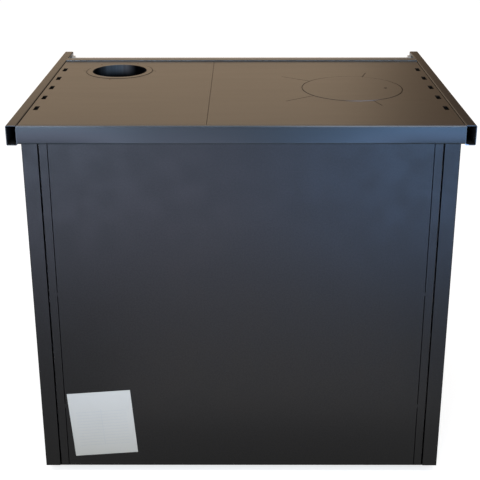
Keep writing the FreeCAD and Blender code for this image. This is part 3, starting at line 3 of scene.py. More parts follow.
import bmesh
import bpy
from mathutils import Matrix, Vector


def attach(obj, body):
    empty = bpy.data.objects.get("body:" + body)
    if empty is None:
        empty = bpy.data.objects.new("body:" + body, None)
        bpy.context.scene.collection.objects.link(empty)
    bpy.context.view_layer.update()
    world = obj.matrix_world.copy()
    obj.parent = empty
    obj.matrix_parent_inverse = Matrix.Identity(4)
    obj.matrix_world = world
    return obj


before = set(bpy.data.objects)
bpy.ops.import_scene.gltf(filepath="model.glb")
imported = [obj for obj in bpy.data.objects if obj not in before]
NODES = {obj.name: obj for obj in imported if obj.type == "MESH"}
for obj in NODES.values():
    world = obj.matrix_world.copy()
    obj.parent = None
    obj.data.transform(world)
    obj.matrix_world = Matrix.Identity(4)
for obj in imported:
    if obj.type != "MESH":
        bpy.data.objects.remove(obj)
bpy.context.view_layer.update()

SCENE = bpy.context.scene
SCENE.view_settings.view_transform = "Standard"

# Places and sizes on the stove, in metres, and the label's tilt in degrees.
HOB_TOP = 0.751
FLUE_CENTRE = (0.272, -0.1178, HOB_TOP)
FLUE_RADIUS = 0.06
COLLAR_RADIUS = 0.073
RIVET_RING = 0.079
DISC_CENTRE = (-0.231, 0.04, HOB_TOP)
DISC_RADIUS = 0.10375
DISC_GLINT = (-0.243, 0.1431, HOB_TOP)
RAIL_BACK = 0.318
RAIL_BEND_FOOT = 0.749
RAIL_SPOT = (-0.4127, 0.3175, 0.7157)
LABEL_CENTRE = (0.282, 0.315, 0.121)
LABEL_TILT = 4.4
DIAL_CENTRE = (0.14675, -0.263, 0.626)

# Shaded curl of the rear rail's face: its depth is RAIL_CURL times the square of the drop from the bend.
RAIL_CURL = 1.8
RAIL_ROUGHNESS = (0.24, 0.27)

# Stretches of a texture: even, or in fine lines along one axis.
EVEN = (1.0, 1.0, 1.0)
ALONG_X = (14.0, 1600.0, 1600.0)
ALONG_Y = (1600.0, 14.0, 1600.0)
ALONG_Z = (1600.0, 1600.0, 14.0)

# Which axes count in a distance.
IN_PLAN = (1.0, 1.0, 0.0)
ONLY_X = (1.0, 0.0, 0.0)
ONLY_Z = (0.0, 0.0, 1.0)

# Painted shade for the eased edges of the cooking disc and the flue collar.
EDGE_SHADE = (0.004, 0.004, 0.004)


class Graph:
    """A material, its Principled shader and short calls for the nodes that feed it."""

    def __init__(self, name, **values):
        self.material = bpy.data.materials.new(name)
        self.material.use_nodes = True
        self.tree = self.material.node_tree
        self.shader = self.tree.nodes["Principled BSDF"]
        self.set(**values)

    def set(self, **values):
        """Sets or links inputs of the shader, by their names with _ for a space."""
        for name, value in values.items():
            self.put(self.shader.inputs[name.replace("_", " ")], value)

    def put(self, socket, value):
        """Links a socket to another, or gives it a value."""
        if isinstance(value, bpy.types.NodeSocket):
            self.tree.links.new(value, socket)
        elif socket.type == "RGBA":
            socket.default_value = (*value, 1.0)
        else:
            socket.default_value = value

    def add(self, kind, inputs, **settings):
        """A new node of a kind, with its inputs and settings."""
        node = self.tree.nodes.new(f"ShaderNode{kind}")
        for name, value in settings.items():
            setattr(node, name, value)
        for key, value in inputs.items():
            self.put(node.inputs[key], value)
        return node

    def fed(self, name):
        """The socket that feeds an input of the shader."""
        return self.shader.inputs[name].links[0].from_socket

    def cover(self, mask, color):
        """Lays a colour over the base colour where a mask says so."""
        self.set(Base_Color=self.mix(mask, self.fed("Base Color"), color))

    def place(self, scale=EVEN):
        """The point on the piece in metres, in the model's frame, stretched by a scale."""
        coords = self.add("TexCoord", {}).outputs["Object"]
        return self.add("Mapping", {"Vector": coords, "Scale": scale}).outputs["Vector"]

    def axis(self, name):
        """One coordinate of the point on the piece."""
        return self.add("SeparateXYZ", {0: self.place()}).outputs[name]

    def noise(self, scale, detail=2.0, roughness=0.5, stretch=EVEN, distortion=0.0):
        """Noise with features about 1 / scale metres across, before the stretch."""
        inputs = {
            "Vector": self.place(stretch),
            "Scale": scale,
            "Detail": detail,
            "Roughness": roughness,
            "Distortion": distortion,
        }
        return self.add("TexNoise", inputs).outputs["Fac"]

    def cells(self, scale):
        """The distance to the nearest of many scattered points."""
        return self.add("TexVoronoi", {"Vector": self.place(), "Scale": scale}).outputs["Distance"]

    def math(self, operation, a, b=0.0):
        """One operation on a value, or on two."""
        return self.add("Math", {0: a, 1: b}, operation=operation).outputs[0]

    def times(self, product, *others):
        """The product of several values."""
        for other in others:
            product = self.math("MULTIPLY", product, other)
        return product

    def remap(self, value, span, levels=(0.0, 1.0)):
        """A smooth step from one level to another while a value crosses a span."""
        inputs = dict(zip(("From Min", "From Max", "To Min", "To Max"), (*span, *levels)), Value=value)
        return self.add("MapRange", inputs, interpolation_type="SMOOTHSTEP").outputs["Result"]

    def mix(self, factor, a, b):
        """A colour between two others."""
        return self.add("Mix", {0: factor, 6: a, 7: b}, data_type="RGBA").outputs[2]

    def distance(self, centre, scale):
        """The distance from a centre, with each axis counted by a scale."""
        point = self.add("VectorMath", {0: self.place(), 1: centre}, operation="SUBTRACT").outputs[0]
        point = self.add("VectorMath", {0: point, 1: scale}, operation="MULTIPLY").outputs[0]
        return self.add("VectorMath", {0: point}, operation="LENGTH").outputs["Value"]

    def bump(self, height, depth, strength=1.0, under=None):
        """Bends the shading by a height times a depth in metres, over another bump if one is given."""
        inputs = {"Height": height, "Distance": depth, "Strength": strength}
        if under is not None:
            inputs["Normal"] = under
        normal = self.add("Bump", inputs).outputs["Normal"]
        self.set(Normal=normal)
        return normal


def casing_paint():
    """Satin charcoal powder coat with a fine grain and faint cloudiness."""
    g = Graph("casing_paint", Specular_IOR_Level=0.15)
    clouds = g.mix(g.noise(5.0, detail=3.0), (0.0008, 0.0006, 0.0005), (0.0018, 0.0015, 0.0013))
    speckle = g.remap(g.noise(330.0, detail=2.0, roughness=0.6), (0.32, 0.68))
    g.set(Base_Color=g.mix(speckle, clouds, (0.0056, 0.005, 0.0046)))
    g.set(Roughness=g.remap(g.noise(24.0, detail=4.0), (0.3, 0.7), (0.36, 0.41)))
    grain = g.bump(g.noise(1500.0, detail=1.0), depth=0.00003, strength=0.35)
    g.bump(g.noise(9.0, detail=1.0), depth=0.0006, strength=0.08, under=grain)
    return g


def hot_paint(name, low, high, roughness, gloss=0.36):
    """Heat-proof satin paint with faint streaks, from two tones and the span of its roughness."""
    g = Graph(name, Specular_IOR_Level=gloss)
    g.set(Base_Color=g.mix(g.noise(7.0, detail=4.0), low, high))
    streaks = g.noise(40.0, detail=2.0, stretch=(0.12, 1.0, 1.0))
    g.set(Roughness=g.remap(streaks, (0.25, 0.75), roughness))
    grain = g.bump(g.noise(1300.0, detail=1.0), depth=0.00003, strength=0.12)
    g.bump(g.noise(6.0, detail=1.0), depth=0.0005, strength=0.04, under=grain)
    return g


def rail_paint(name):
    """The paint of the side rails."""
    low = (0.011, 0.0107, 0.0106)
    high = (0.0155, 0.0151, 0.015)
    return hot_paint(name, low, high, RAIL_ROUGHNESS, gloss=0.142)


def rubbed_paint():
    """The rear rail's paint, with a painted sheen on top, part bare metal on its bend as wear and painted
    highlight, and a shaded curl at its ends.
    """
    low = (0.0035, 0.0064, 0.0072)
    high = (0.005, 0.009, 0.0102)
    top_sheen = (0.044, 0.044, 0.047)
    metal = (0.45, 0.46, 0.48)
    dimmest_highlight_x = 0.1
    g = hot_paint("rubbed_paint", low, high, RAIL_ROUGHNESS, gloss=0.152)
    across, depth, height = g.axis("X"), g.axis("Y"), g.axis("Z")
    drop = g.math("MAXIMUM", g.math("SUBTRACT", RAIL_BEND_FOOT, height), 0.0)
    curl = g.remap(g.math("ABSOLUTE", across), (0.17, 0.34), (-0.1 * RAIL_CURL, -RAIL_CURL))
    g.bump(g.times(drop, drop, curl), depth=1.0, under=g.fed("Normal"))
    # Painted sheen: the top face is made lighter, like the hob's sheen.
    g.cover(g.remap(height, (HOB_TOP - 0.0007, HOB_TOP - 0.0002)), top_sheen)
    # Part bare metal on the bend, weakest near x = 0.1 and strongest towards the ends: partly wear, partly
    # a painted highlight.
    bend = g.times(
        g.remap(depth, (RAIL_BACK - 0.0024, RAIL_BACK - 0.0018)),
        g.remap(height, (RAIL_BEND_FOOT - 0.0004, RAIL_BEND_FOOT + 0.0002)),
    )
    off_dimmest = g.math("ABSOLUTE", g.math("SUBTRACT", across, dimmest_highlight_x))
    painted_highlight = g.times(bend, g.remap(off_dimmest, (0.1, 0.28), (0.09, 0.21)))
    g.cover(painted_highlight, metal)
    g.set(Metallic=painted_highlight)
    return g


def spotted_rail_paint():
    """The left rail's paint, with a small bluish metallic spot at its open end."""
    metal = (0.5, 0.56, 0.66)
    flattened = (1.0, 1.0, 1.6)
    g = rail_paint("spotted_rail_paint")
    # A small bluish metallic spot low at the rail's open end.
    bluish_spot = g.remap(g.distance(RAIL_SPOT, flattened), (0.003, 0.0048), (0.3, 0.0))
    g.cover(bluish_spot, metal)
    g.set(Metallic=bluish_spot)
    return g


def hob_paint(name):
    """The hob's paint, darkened in its cuts and seams as painted shade."""
    low = (0.021, 0.0165, 0.0125)
    high = (0.028, 0.0225, 0.0175)
    cut_shade = (0.003, 0.0028, 0.0027)
    g = hot_paint(name, low, high, roughness=(0.285, 0.302))
    # Painted shade: everything more than about 2 mm below the hob's top is darkened.
    in_cuts = g.remap(g.axis("Z"), (HOB_TOP - 0.0022, HOB_TOP - 0.0015), (1.0, 0.0))
    g.cover(in_cuts, cut_shade)
    return g


def disc_paint():
    """The hob's paint, with painted shade on the eased edge and a bluish painted glint on it in one place.
    """
    glint_blue = (0.4, 0.5, 0.7)
    g = hob_paint("disc_paint")
    # Painted shade: the eased edge is darkened, as the gap beside it lies in shade.
    edge = g.remap(g.distance(DISC_CENTRE, IN_PLAN), (DISC_RADIUS - 0.0018, DISC_RADIUS - 0.001))
    # Painted glint: bluish metal on the edge near DISC_GLINT.
    bright = g.remap(g.distance(DISC_GLINT, IN_PLAN), (0.01, 0.042), (0.36, 0.0))
    painted_highlight = g.times(edge, bright)
    g.cover(edge, EDGE_SHADE)
    g.cover(painted_highlight, glint_blue)
    g.set(Metallic=painted_highlight)
    return g


def flue_paint():
    """The hob's paint, with painted shade on the collar's edge and, inside the socket, soot and shade with
    a streaked painted reflection.
    """
    soot_and_shade = (0.01, 0.01, 0.013)
    grey_reflection = (0.48, 0.51, 0.59)
    blue_reflection = (0.58, 0.77, 1.0)
    # Painted reflection: bluish and grey streaks of bright metal, centred here and near the top of the
    # socket.
    reflection_centre = (FLUE_CENTRE[0] + 0.012, *FLUE_CENTRE[1:])
    g = hob_paint("flue_paint")
    radius = g.distance(FLUE_CENTRE, IN_PLAN)
    inside = g.remap(radius, (FLUE_RADIUS + 0.0002, FLUE_RADIUS + 0.0006), (1.0, 0.0))
    edge = g.remap(radius, (COLLAR_RADIUS - 0.0018, COLLAR_RADIUS - 0.001))
    streaks = g.remap(g.noise(48.0, detail=2.0, stretch=(1.0, 1.0, 0.02)), (0.36, 0.64), (0.5, 1.0))
    middle = g.remap(g.distance(reflection_centre, ONLY_X), (0.014, 0.046), (1.0, 0.0))
    upper = g.remap(g.distance(reflection_centre, ONLY_Z), (0.006, 0.027), (1.0, 0.0))
    painted_reflection = g.times(streaks, middle, upper)
    reflection_tint = g.mix(g.remap(g.axis("X"), (0.262, 0.296)), grey_reflection, blue_reflection)
    # Painted shade on the collar's eased edge; inside the socket, soot and shade under the painted
    # reflection.
    g.cover(edge, EDGE_SHADE)
    g.cover(inside, g.mix(painted_reflection, soot_and_shade, reflection_tint))
    g.set(Metallic=g.times(inside, 0.9))
    return g


def rim_steel():
    """Satin grey steel of the rim, brushed along its length."""
    g = Graph("rim_steel", Metallic=1.0)
    lines = g.noise(1.0, detail=3.0, roughness=0.6, stretch=ALONG_X)
    g.set(Base_Color=g.mix(lines, (0.12, 0.121, 0.124), (0.165, 0.167, 0.17)))
    g.set(Roughness=g.remap(lines, (0.25, 0.75), (0.32, 0.42)))
    g.bump(lines, depth=0.00002, strength=0.3)
    return g


def front_enamel():
    """Gloss black enamel with a slight orange peel."""
    g = Graph("front_enamel", Specular_IOR_Level=0.5, Coat_Weight=0.35, Coat_Roughness=0.06)
    g.set(Base_Color=g.mix(g.noise(4.0, detail=3.0), (0.011, 0.011, 0.0125), (0.017, 0.017, 0.019)))
    g.set(Roughness=g.remap(g.noise(40.0, detail=4.0), (0.3, 0.7), (0.2, 0.3)))
    peel = g.bump(g.noise(420.0, detail=2.0), depth=0.00004, strength=0.35)
    g.bump(g.noise(14.0, detail=1.0), depth=0.0004, strength=0.12, under=peel)
    return g


def brushed_steel(name, grain):
    """Stainless steel brushed along one direction, given as a stretch of the grain."""
    g = Graph(name, Metallic=1.0)
    lines = g.noise(1.0, detail=3.0, roughness=0.65, stretch=grain)
    tint = g.mix(lines, (0.47, 0.465, 0.455), (0.66, 0.655, 0.645))
    smudge = g.remap(g.noise(22.0, detail=3.0), (0.45, 0.75))
    g.set(Base_Color=g.mix(g.times(smudge, 0.35), tint, (0.42, 0.415, 0.41)))
    g.set(Roughness=g.math("ADD", g.remap(lines, (0.25, 0.75), (0.2, 0.32)), g.times(smudge, 0.06)))
    g.bump(lines, depth=0.00002, strength=0.35)
    return g


def sheet_steel():
    """Mill-finish steel sheet with rolling marks and a grey oxide bloom."""
    g = Graph("sheet_steel", Metallic=1.0)
    bloom = g.noise(11.0, detail=5.0, roughness=0.6)
    rolled = g.noise(1.0, detail=3.0, roughness=0.6, stretch=(12.0, 420.0, 12.0))
    base = g.mix(bloom, (0.2, 0.2, 0.205), (0.33, 0.33, 0.34))
    g.set(Base_Color=g.mix(g.remap(rolled, (0.4, 0.8), (0.0, 0.4)), base, (0.26, 0.25, 0.245)))
    g.set(Roughness=g.remap(bloom, (0.3, 0.7), (0.36, 0.54)))
    g.bump(rolled, depth=0.00003, strength=0.3)
    return g


def grate_iron():
    """Rough grey cast iron with a little rust in patches."""
    g = Graph("grate_iron", Specular_IOR_Level=0.4)
    sand = g.noise(420.0, detail=3.0, roughness=0.6)
    rust = g.remap(g.noise(38.0, detail=5.0, roughness=0.65), (0.56, 0.74))
    base = g.mix(sand, (0.03, 0.029, 0.028), (0.065, 0.063, 0.06))
    g.set(Base_Color=g.mix(g.times(rust, 0.55), base, (0.11, 0.055, 0.03)))
    g.set(Roughness=g.remap(sand, (0.3, 0.7), (0.62, 0.82)))
    coarse = g.bump(g.noise(90.0, detail=3.0), depth=0.0006, strength=0.35)
    g.bump(sand, depth=0.0003, strength=0.5, under=coarse)
    return g


def firebrick():
    """Pale vermiculite brick with coarse flakes."""
    g = Graph("firebrick", Specular_IOR_Level=0.2)
    flakes = g.cells(260.0)
    cloud = g.noise(14.0, detail=5.0, roughness=0.6)
    base = g.mix(cloud, (0.5, 0.39, 0.26), (0.66, 0.55, 0.4))
    g.set(Base_Color=g.mix(g.remap(flakes, (0.0, 0.5), (0.5, 0.0)), base, (0.33, 0.23, 0.14)))
    g.set(Roughness=g.remap(cloud, (0.3, 0.7), (0.82, 0.95)))
    g.bump(flakes, depth=0.0006, strength=0.6)
    return g


def oven_enamel():
    """Dark oven enamel with pale specks."""
    g = Graph("oven_enamel", Specular_IOR_Level=0.5, Coat_Weight=0.3, Coat_Roughness=0.08)
    specks = g.remap(g.cells(240.0), (0.12, 0.2), (1.0, 0.0))
    chosen = g.times(specks, g.remap(g.noise(160.0, detail=1.0), (0.5, 0.6)))
    base = g.mix(g.noise(9.0, detail=3.0), (0.03, 0.032, 0.04), (0.045, 0.048, 0.058))
    g.set(Base_Color=g.mix(chosen, base, (0.42, 0.44, 0.47)))
    g.set(Roughness=g.remap(g.noise(30.0, detail=3.0), (0.3, 0.7), (0.16, 0.26)))
    g.bump(g.noise(300.0, detail=2.0), depth=0.00004, strength=0.35)
    return g


def clear_glass(name, tint, ior):
    """Clear glass with faint wiping marks."""
    g = Graph(name, Base_Color=tint, IOR=ior, Transmission_Weight=1.0)
    wiped = g.noise(18.0, detail=4.0, roughness=0.6, stretch=(1.0, 1.0, 0.3), distortion=1.2)
    g.set(Roughness=g.remap(wiped, (0.5, 0.8), (0.0, 0.035)))
    return g


def needle_paint():
    """Red paint on a thin brass needle."""
    g = Graph("needle_paint", Specular_IOR_Level=0.4)
    g.set(Base_Color=g.mix(g.noise(700.0, detail=3.0), (0.48, 0.02, 0.014), (0.6, 0.035, 0.022)))
    g.set(Roughness=g.remap(g.noise(300.0, detail=2.0), (0.3, 0.7), (0.35, 0.5)))
    g.bump(g.noise(1500.0, detail=1.0), depth=0.00002, strength=0.3)
    return g


def rope_seal():
    """Braided glass-fibre rope, graphite grey."""
    g = Graph("rope_seal", Specular_IOR_Level=0.2, Sheen_Weight=0.25, Sheen_Roughness=0.5)
    strands = []
    for turn in (0.6, -0.6):
        turned = g.add("VectorRotate", {"Vector": g.place(), "Angle": turn}, rotation_type="Y_AXIS")
        inputs = {"Vector": turned.outputs[0], "Scale": 170.0, "Distortion": 0.6}
        wave = g.add("TexWave", inputs, bands_direction="X")
        strands.append(wave.outputs["Fac"])
    braid = g.math("MAXIMUM", *strands)
    fibre = g.noise(1800.0, detail=2.0)
    base = g.mix(braid, (0.05, 0.048, 0.046), (0.2, 0.195, 0.185))
    g.set(Base_Color=g.mix(g.remap(fibre, (0.35, 0.75), (0.0, 0.5)), base, (0.3, 0.29, 0.27)))
    g.set(Roughness=g.remap(fibre, (0.3, 0.7), (0.78, 0.95)))
    plait = g.bump(braid, depth=0.0006, strength=0.7)
    g.bump(fibre, depth=0.0001, strength=0.4, under=plait)
    return g


def knob_plastic():
    """Black pressed plastic with a faint mottle."""
    g = Graph("knob_plastic", Specular_IOR_Level=0.45)
    g.set(Base_Color=g.mix(g.noise(90.0, detail=4.0), (0.013, 0.012, 0.012), (0.026, 0.024, 0.023)))
    g.set(Roughness=g.remap(g.noise(140.0, detail=3.0), (0.3, 0.7), (0.3, 0.44)))
    g.bump(g.noise(900.0, detail=2.0), depth=0.00003, strength=0.3)
    return g


def label_paper():
    """Plain label paper with faint empty ruling, soft buckles and no print."""
    g = Graph("label_paper", Specular_IOR_Level=0.15)
    turned = g.add(
        "VectorRotate",
        {"Vector": g.place(), "Center": LABEL_CENTRE, "Angle": math.radians(-LABEL_TILT)},
        rotation_type="Y_AXIS",
    ).outputs[0]
    local = g.add("VectorMath", {0: turned, 1: LABEL_CENTRE}, operation="SUBTRACT").outputs[0]
    axes = g.add("SeparateXYZ", {0: local})
    across, up = axes.outputs["X"], axes.outputs["Z"]

    def rule(value, pitch, thickness=0.0009):
        """Thin lines at every pitch."""
        ripple = g.math("PINGPONG", value, pitch / 2)
        return g.remap(ripple, (thickness / 2, thickness), (1.0, 0.0))

    row = 0.007
    half_width = 0.051
    foot = -0.0505
    head = 0.034
    soft = 0.0005
    inside = g.times(
        g.remap(g.math("ABSOLUTE", across), (half_width, half_width + soft), (1.0, 0.0)),
        g.remap(up, (foot, foot + soft)),
        g.remap(up, (head - soft, head), (1.0, 0.0)),
    )
    ruling = g.times(g.math("MAXIMUM", rule(up, row), rule(across, 2 * half_width)), inside)
    fibre = g.noise(900.0, detail=4.0, roughness=0.6)
    base = g.mix(fibre, (0.438, 0.426, 0.385), (0.48, 0.468, 0.427))
    base = g.mix(g.remap(g.noise(16.0, detail=3.0), (0.5, 0.8), (0.0, 0.3)), base, (0.41, 0.398, 0.358))
    g.set(Base_Color=g.mix(g.times(ruling, 0.4), base, (0.36, 0.37, 0.39)))
    g.set(Roughness=g.remap(fibre, (0.3, 0.7), (0.5, 0.62)))
    buckles = g.bump(g.noise(26.0, detail=2.0), depth=0.0016, strength=0.35)
    g.bump(fibre, depth=0.00003, strength=0.3, under=buckles)
    return g


def dial_enamel():
    """Cream enamel of the thermometer's face."""
    g = Graph("dial_enamel", Specular_IOR_Level=0.4)
    g.set(Base_Color=g.mix(g.noise(160.0, detail=3.0), (0.7, 0.68, 0.6), (0.76, 0.74, 0.67)))
    g.set(Roughness=g.remap(g.noise(300.0, detail=2.0), (0.3, 0.7), (0.4, 0.5)))
    return g


def dial_ink():
    """Black print of the thermometer's scale."""
    g = Graph("dial_ink", Specular_IOR_Level=0.3)
    g.set(Base_Color=g.mix(g.noise(900.0, detail=3.0), (0.012, 0.012, 0.012), (0.03, 0.029, 0.028)))
    g.set(Roughness=g.remap(g.noise(600.0, detail=2.0), (0.3, 0.7), (0.5, 0.65)))
    return g


def rusty_rivet():
    """A bare rivet head browned by heat."""
    g = Graph("rusty_rivet", Specular_IOR_Level=0.4)
    g.set(Base_Color=g.mix(g.noise(900.0, detail=4.0), (0.1, 0.05, 0.025), (0.2, 0.11, 0.06)))
    g.set(Roughness=g.remap(g.noise(700.0, detail=2.0), (0.3, 0.7), (0.55, 0.75)))
    g.bump(g.noise(1200.0, detail=2.0), depth=0.00008, strength=0.5)
    return g


STEEL_X = brushed_steel("bright_steel_along", ALONG_X)
STEEL_Y = brushed_steel("bright_steel_deep", ALONG_Y)
STEEL_Z = brushed_steel("bright_steel_upright", ALONG_Z)

# The look of every node.
LOOKS = {
    casing_paint(): (
        "side_panel_left", "side_panel_right", "rear_posts", "back_panel", "fascia", "base_plate", "feet",
    ),
    rubbed_paint(): ("rear_rail",),
    rail_paint("rail_paint"): ("side_rail_right", "rail_end_caps", "panel_clips"),
    spotted_rail_paint(): ("side_rail_left",),
    rim_steel(): ("front_rim",),
    hob_paint("hob_paint"): ("cooking_plate", "flue_plate"),
    disc_paint(): ("cooking_disc",),
    flue_paint(): ("flue_collar",),
    front_enamel(): ("fire_door", "oven_door", "ash_drawer_front", "wood_drawer_front", "soot_hatch"),
    STEEL_X: (
        "handrail", "handrail_ferrules", "fire_door_handle", "ash_drawer_handle", "wood_drawer_handle",
        "thermometer_case", "air_valve",
    ),
    STEEL_Y: ("oven_rack", "damper_rod"),
    STEEL_Z: ("oven_door_handle", "hinge_pins", "door_hinges"),
    sheet_steel(): (
        "carcass_front", "carcass_walls", "carcass_rear", "carcass_deck", "fire_wall", "ash_pan",
        "wood_drawer", "drawer_runners", "fire_door_clips", "oven_door_clips",
    ),
    grate_iron(): ("grate_frame", "grate", "smoke_baffles", "damper_flap"),
    firebrick(): ("firebricks_side", "firebrick_rear"),
    oven_enamel(): ("oven_box", "baking_tray"),
    clear_glass("stove_glass", (0.62, 0.57, 0.5), ior=1.47): ("fire_door_glass", "oven_door_glass"),
    clear_glass("dial_glass", (0.97, 0.98, 0.98), ior=1.5): ("thermometer_lens",),
    needle_paint(): ("thermometer_needle",),
    rope_seal(): ("fire_door_gasket", "oven_door_gasket"),
    knob_plastic(): ("damper_knob",),
    label_paper(): ("rating_label",),
}
for look, names in LOOKS.items():
    for name in names:
        slots = NODES[name].material_slots
        if not slots:
            NODES[name].data.materials.append(look.material)
        for slot in slots:
            slot.material = look.material


def placed(name, data):
    """A new object in the scene."""
    obj = bpy.data.objects.new(name, data)
    SCENE.collection.objects.link(obj)
    return obj


def piece(name, mesh, look, body):
    """A mesh piece of its own that rides on a body."""
    obj = placed(name, mesh)
    mesh.materials.append(look.material)
    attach(obj, body)


def built(name, fill):
    """A mesh made by a function that fills a bmesh."""
    mesh = bpy.data.meshes.new(name)
    shape = bmesh.new()
    fill(shape)
    bmesh.ops.recalc_face_normals(shape, faces=shape.faces)
    shape.to_mesh(mesh)
    shape.free()
    return mesh


def lathe(shape, profile, centre, axis, steps):
    """Turns (radius, height) points about an axis through a centre into a surface."""
    centre, axis = Vector(centre), Vector(axis).normalized()
    side = axis.orthogonal().normalized()
    other = axis.cross(side)
    rings = []
    for radius, height in profile:
        if radius == 0:
            rings.append([shape.verts.new(centre + axis * height)])
            continue
        ring = []
        for i in range(steps):
            angle = 2 * math.pi * i / steps
            outwards = side * math.cos(angle) + other * math.sin(angle)
            ring.append(shape.verts.new(centre + axis * height + outwards * radius))
        rings.append(ring)
    for low, high in zip(rings, rings[1:]):
        for i in range(steps):
            j = (i + 1) % steps
            corners = [low[i % len(low)], low[j % len(low)], high[j % len(high)], high[i % len(high)]]
            unique = list(dict.fromkeys(corners))
            if len(unique) > 2:
                face = shape.faces.new(unique)
                face.smooth = True


def flue_rivets():
    """Three small heads round the flue collar."""
    angles = (65, 128, 261)
    profile = [(0.0022, -0.0002), (0.0022, 0.0001), (0.0016, 0.0006), (0.0008, 0.0008), (0, 0.00085)]

    def fill(shape):
        for angle in angles:
            turn = math.radians(angle)
            x = FLUE_CENTRE[0] - RIVET_RING * math.cos(turn)
            y = FLUE_CENTRE[1] - RIVET_RING * math.sin(turn)
            lathe(shape, profile, (x, y, HOB_TOP), (0, 0, 1), steps=20)

    piece("flue_rivets", built("flue_rivets", fill), rusty_rivet(), "stove")


def thermometer_scale():
    """The thermometer's printed face: a cream disc, ticks and plain numbers, clockwise from the top."""
    x, y, z = DIAL_CENTRE
    ink = dial_ink()
    sweep = 270
    gaps = 25
    gaps_to_number = 5
    degrees_to_number = 100
    face = 0.0002
    tick_height = 0.00006
    number_height = 0.00004
    number_reach = 0.0168
    profile = [(0.0024, 0.00005), (0.0024, face), (0.0277, face), (0.028, 0.0001), (0.028, 0.00005)]

    def disc(shape):
        lathe(shape, profile, DIAL_CENTRE, (0, -1, 0), steps=72)

    def ticks(shape):
        outer = 0.0262
        # The inner end and the half width.
        short = (0.0232, 0.0002)
        long = (0.0212, 0.0004)
        for step in range(gaps + 1):
            turn = math.radians(step * sweep / gaps)
            along = Vector((math.sin(turn), 0, math.cos(turn)))
            across = Vector((along.z, 0, -along.x))
            inner, half = short if step % gaps_to_number else long
            corners = []
            for depth in (face, face + tick_height):
                for reach, sign in ((inner, -1), (inner, 1), (outer, 1), (outer, -1)):
                    point = Vector((x, y - depth, z)) + along * reach + across * half * sign
                    corners.append(shape.verts.new(point))
            shape.faces.new(corners[4:])
            for i in range(4):
                j = (i + 1) % 4
                shape.faces.new((corners[i], corners[j], corners[4 + j], corners[4 + i]))

    piece("thermometer_face", built("thermometer_face", disc), dial_enamel(), "oven_door")
    piece("thermometer_ticks", built("thermometer_ticks", ticks), ink, "oven_door")
    for step in range(gaps // gaps_to_number + 1):
        turn = math.radians(step * gaps_to_number * sweep / gaps)
        name = f"thermometer_number_{step}"
        text = bpy.data.curves.new(name, "FONT")
        text.body = str(step * degrees_to_number)
        text.size = 0.0058
        text.align_x = "CENTER"
        text.align_y = "CENTER"
        text.extrude = 0.00003
        text.materials.append(ink.material)
        obj = placed(name, text)
        obj.location = (
            x + number_reach * math.sin(turn),
            y - face - number_height,
            z + number_reach * math.cos(turn),
        )
        obj.rotation_euler = (math.radians(90), 0, 0)
        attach(obj, "oven_door")


flue_rivets()
thermometer_scale()


def white_floor():
    """A large white floor that the camera and reflections see as white, with the object's shadow on it."""
    half_size = 20.0
    grey = 0.58
    glow = 0.71

    def fill(shape):
        bmesh.ops.create_grid(shape, x_segments=1, y_segments=1, size=half_size)

    obj = placed("floor", built("floor", fill))
    g = Graph("floor_white", Base_Color=(grey, grey, grey), Roughness=0.9, Specular_IOR_Level=0.0)
    path = g.add("LightPath", {})
    seen = g.math("MAXIMUM", path.outputs["Is Camera Ray"], path.outputs["Is Glossy Ray"])
    seen = g.math("MAXIMUM", seen, path.outputs["Is Transmission Ray"])
    g.set(Emission_Color=(1.0, 1.0, 1.0), Emission_Strength=g.times(seen, glow))
    obj.data.materials.append(g.material)


def studio_world():
    """Soft surroundings: warm in front of the stove, dim at the left there, grey behind it and overhead."""
    world = bpy.data.worlds.new("studio")
    SCENE.world = world
    world.use_nodes = True
    tree = world.node_tree
    coords = tree.nodes.new("ShaderNodeTexCoord")
    axes = tree.nodes.new("ShaderNodeSeparateXYZ")
    tree.links.new(coords.outputs["Generated"], axes.inputs[0])
    height = tree.nodes.new("ShaderNodeMapRange")
    tree.links.new(axes.outputs["Z"], height.inputs["Value"])
    height.inputs["From Min"].default_value = -0.1
    height.inputs["From Max"].default_value = 1.0

    def ramp(*stops):
        """A colour by height, from the stops' heights and colours."""
        node = tree.nodes.new("ShaderNodeValToRGB")
        while len(node.color_ramp.elements) < len(stops):
            node.color_ramp.elements.new(0.5)
        for element, (place, color) in zip(node.color_ramp.elements, stops):
            element.position = place
            element.color = (*color, 1.0)
        tree.links.new(height.outputs["Result"], node.inputs["Fac"])
        return node.outputs["Color"]

    def mix(axis, low, high, first, second):
        """A colour that goes from the first to the second along an axis."""
        span = tree.nodes.new("ShaderNodeMapRange")
        span.interpolation_type = "SMOOTHSTEP"
        span.inputs["From Min"].default_value = low
        span.inputs["From Max"].default_value = high
        tree.links.new(axes.outputs[axis], span.inputs["Value"])
        node = tree.nodes.new("ShaderNodeMix")
        node.data_type = "RGBA"
        tree.links.new(span.outputs["Result"], node.inputs[0])
        tree.links.new(first, node.inputs[6])
        tree.links.new(second, node.inputs[7])
        return node.outputs[2]

    overhead = (1.0, (0.6, 0.6, 0.6))
    bright = ramp(
        (0.0, (0.95, 0.9, 0.85)),
        (0.12, (0.98, 0.74, 0.51)),
        (0.4, (0.9, 0.66, 0.445)),
        (0.7, (0.6, 0.54, 0.48)),
        overhead,
    )
    dim = ramp(
        (0.0, (0.85, 0.8, 0.75)),
        (0.12, (0.22, 0.135, 0.072)),
        (0.4, (0.2, 0.125, 0.07)),
        (0.7, (0.5, 0.46, 0.42)),
        overhead,
    )
    rear = ramp((0.0, (0.7, 0.7, 0.7)), (0.3, (0.38, 0.38, 0.39)), overhead)
    front = mix("X", -0.2, -0.09, dim, bright)
    sky = mix("Y", -0.5, 0.5, front, rear)
    tree.links.new(sky, tree.nodes["Background"].inputs["Color"])


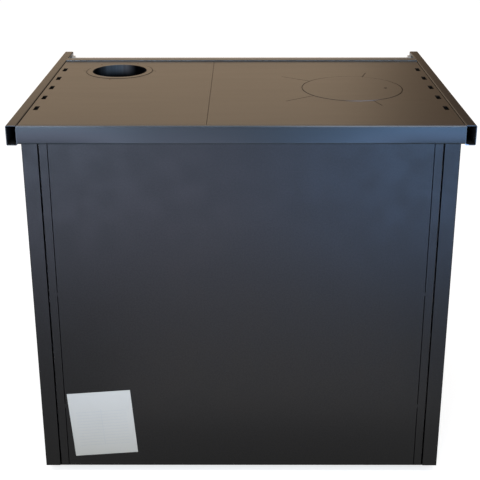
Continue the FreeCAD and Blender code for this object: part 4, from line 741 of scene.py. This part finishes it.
def lamp(name, place, target, brightness, color, size):
    """An area lamp, aimed at a target, of an even brightness, whatever its size."""
    width, length = size
    data = bpy.data.lights.new(name, "AREA")
    data.shape = "RECTANGLE"
    data.size = width
    data.size_y = length
    data.energy = brightness * math.pi * width * length
    data.color = color
    obj = placed(name, data)
    obj.location = place
    obj.rotation_euler = (Vector(target) - Vector(place)).to_track_quat("-Z", "Y").to_euler()
    obj.visible_camera = False
    return obj


def floor_glow(name, x, y, brightness, color):
    """A patch of lit floor behind the stove, which shows as a soft sheen on its back."""
    above_floor = 0.02
    place = ((x[0] + x[1]) / 2, (y[0] + y[1]) / 2, above_floor)
    upwards = (place[0], place[1], 1.0)
    lamp(name, place, upwards, brightness, color, (x[1] - x[0], y[1] - y[0]))


def studio_lamps():
    """Lit floor and two windows behind the stove, and a soft lamp overhead that leaves no reflection."""
    floor_glow("glow_right_far", (-1.9, -0.64), (2.5, 7.0), 22.4, (0.23, 0.545, 1.0))
    floor_glow("glow_right", (-1.2, -0.2), (1.6, 2.5), 19.6, (0.325, 0.52, 0.99))
    floor_glow("glow_left_far", (0.64, 2.0), (2.5, 7.0), 21.6, (0.5, 0.725, 1.0))
    floor_glow("glow_left", (-0.06, 1.15), (1.55, 2.5), 11.4, (0.67, 0.68, 0.985))
    floor_glow("glow_near", (-0.45, 0.3), (0.5, 1.6), 1.1, (1.0, 0.94, 0.92))
    window = (0.65, 0.8)
    lamp("window_right", (-0.9, 3.1, 2.2), (-0.4, 0.3, 0.75), 12.0, (0.62, 0.8, 1.0), window)
    lamp("window_left", (0.9, 3.1, 2.2), (0.4, 0.3, 0.75), 18.5, (0.66, 0.82, 1.0), window)
    overhead = lamp("overhead", (0.3, 1.7, 3.0), (0.0, 0.2, 0.75), 7.6, (1.0, 0.98, 0.97), (3.0, 0.6))
    overhead.visible_glossy = False


def camera():
    """The photo's camera, behind and above the stove."""
    place = (-0.0032, 2.0107, 1.2508)
    turn_degrees = (70.7, 0.071, 180.146)
    data = bpy.data.cameras.new("camera")
    data.sensor_width = 36.0
    data.lens = 72.84
    data.shift_y = -0.1367
    obj = placed("camera", data)
    obj.location = place
    obj.rotation_euler = [math.radians(angle) for angle in turn_degrees]
    SCENE.camera = obj


white_floor()
studio_world()
studio_lamps()
camera()
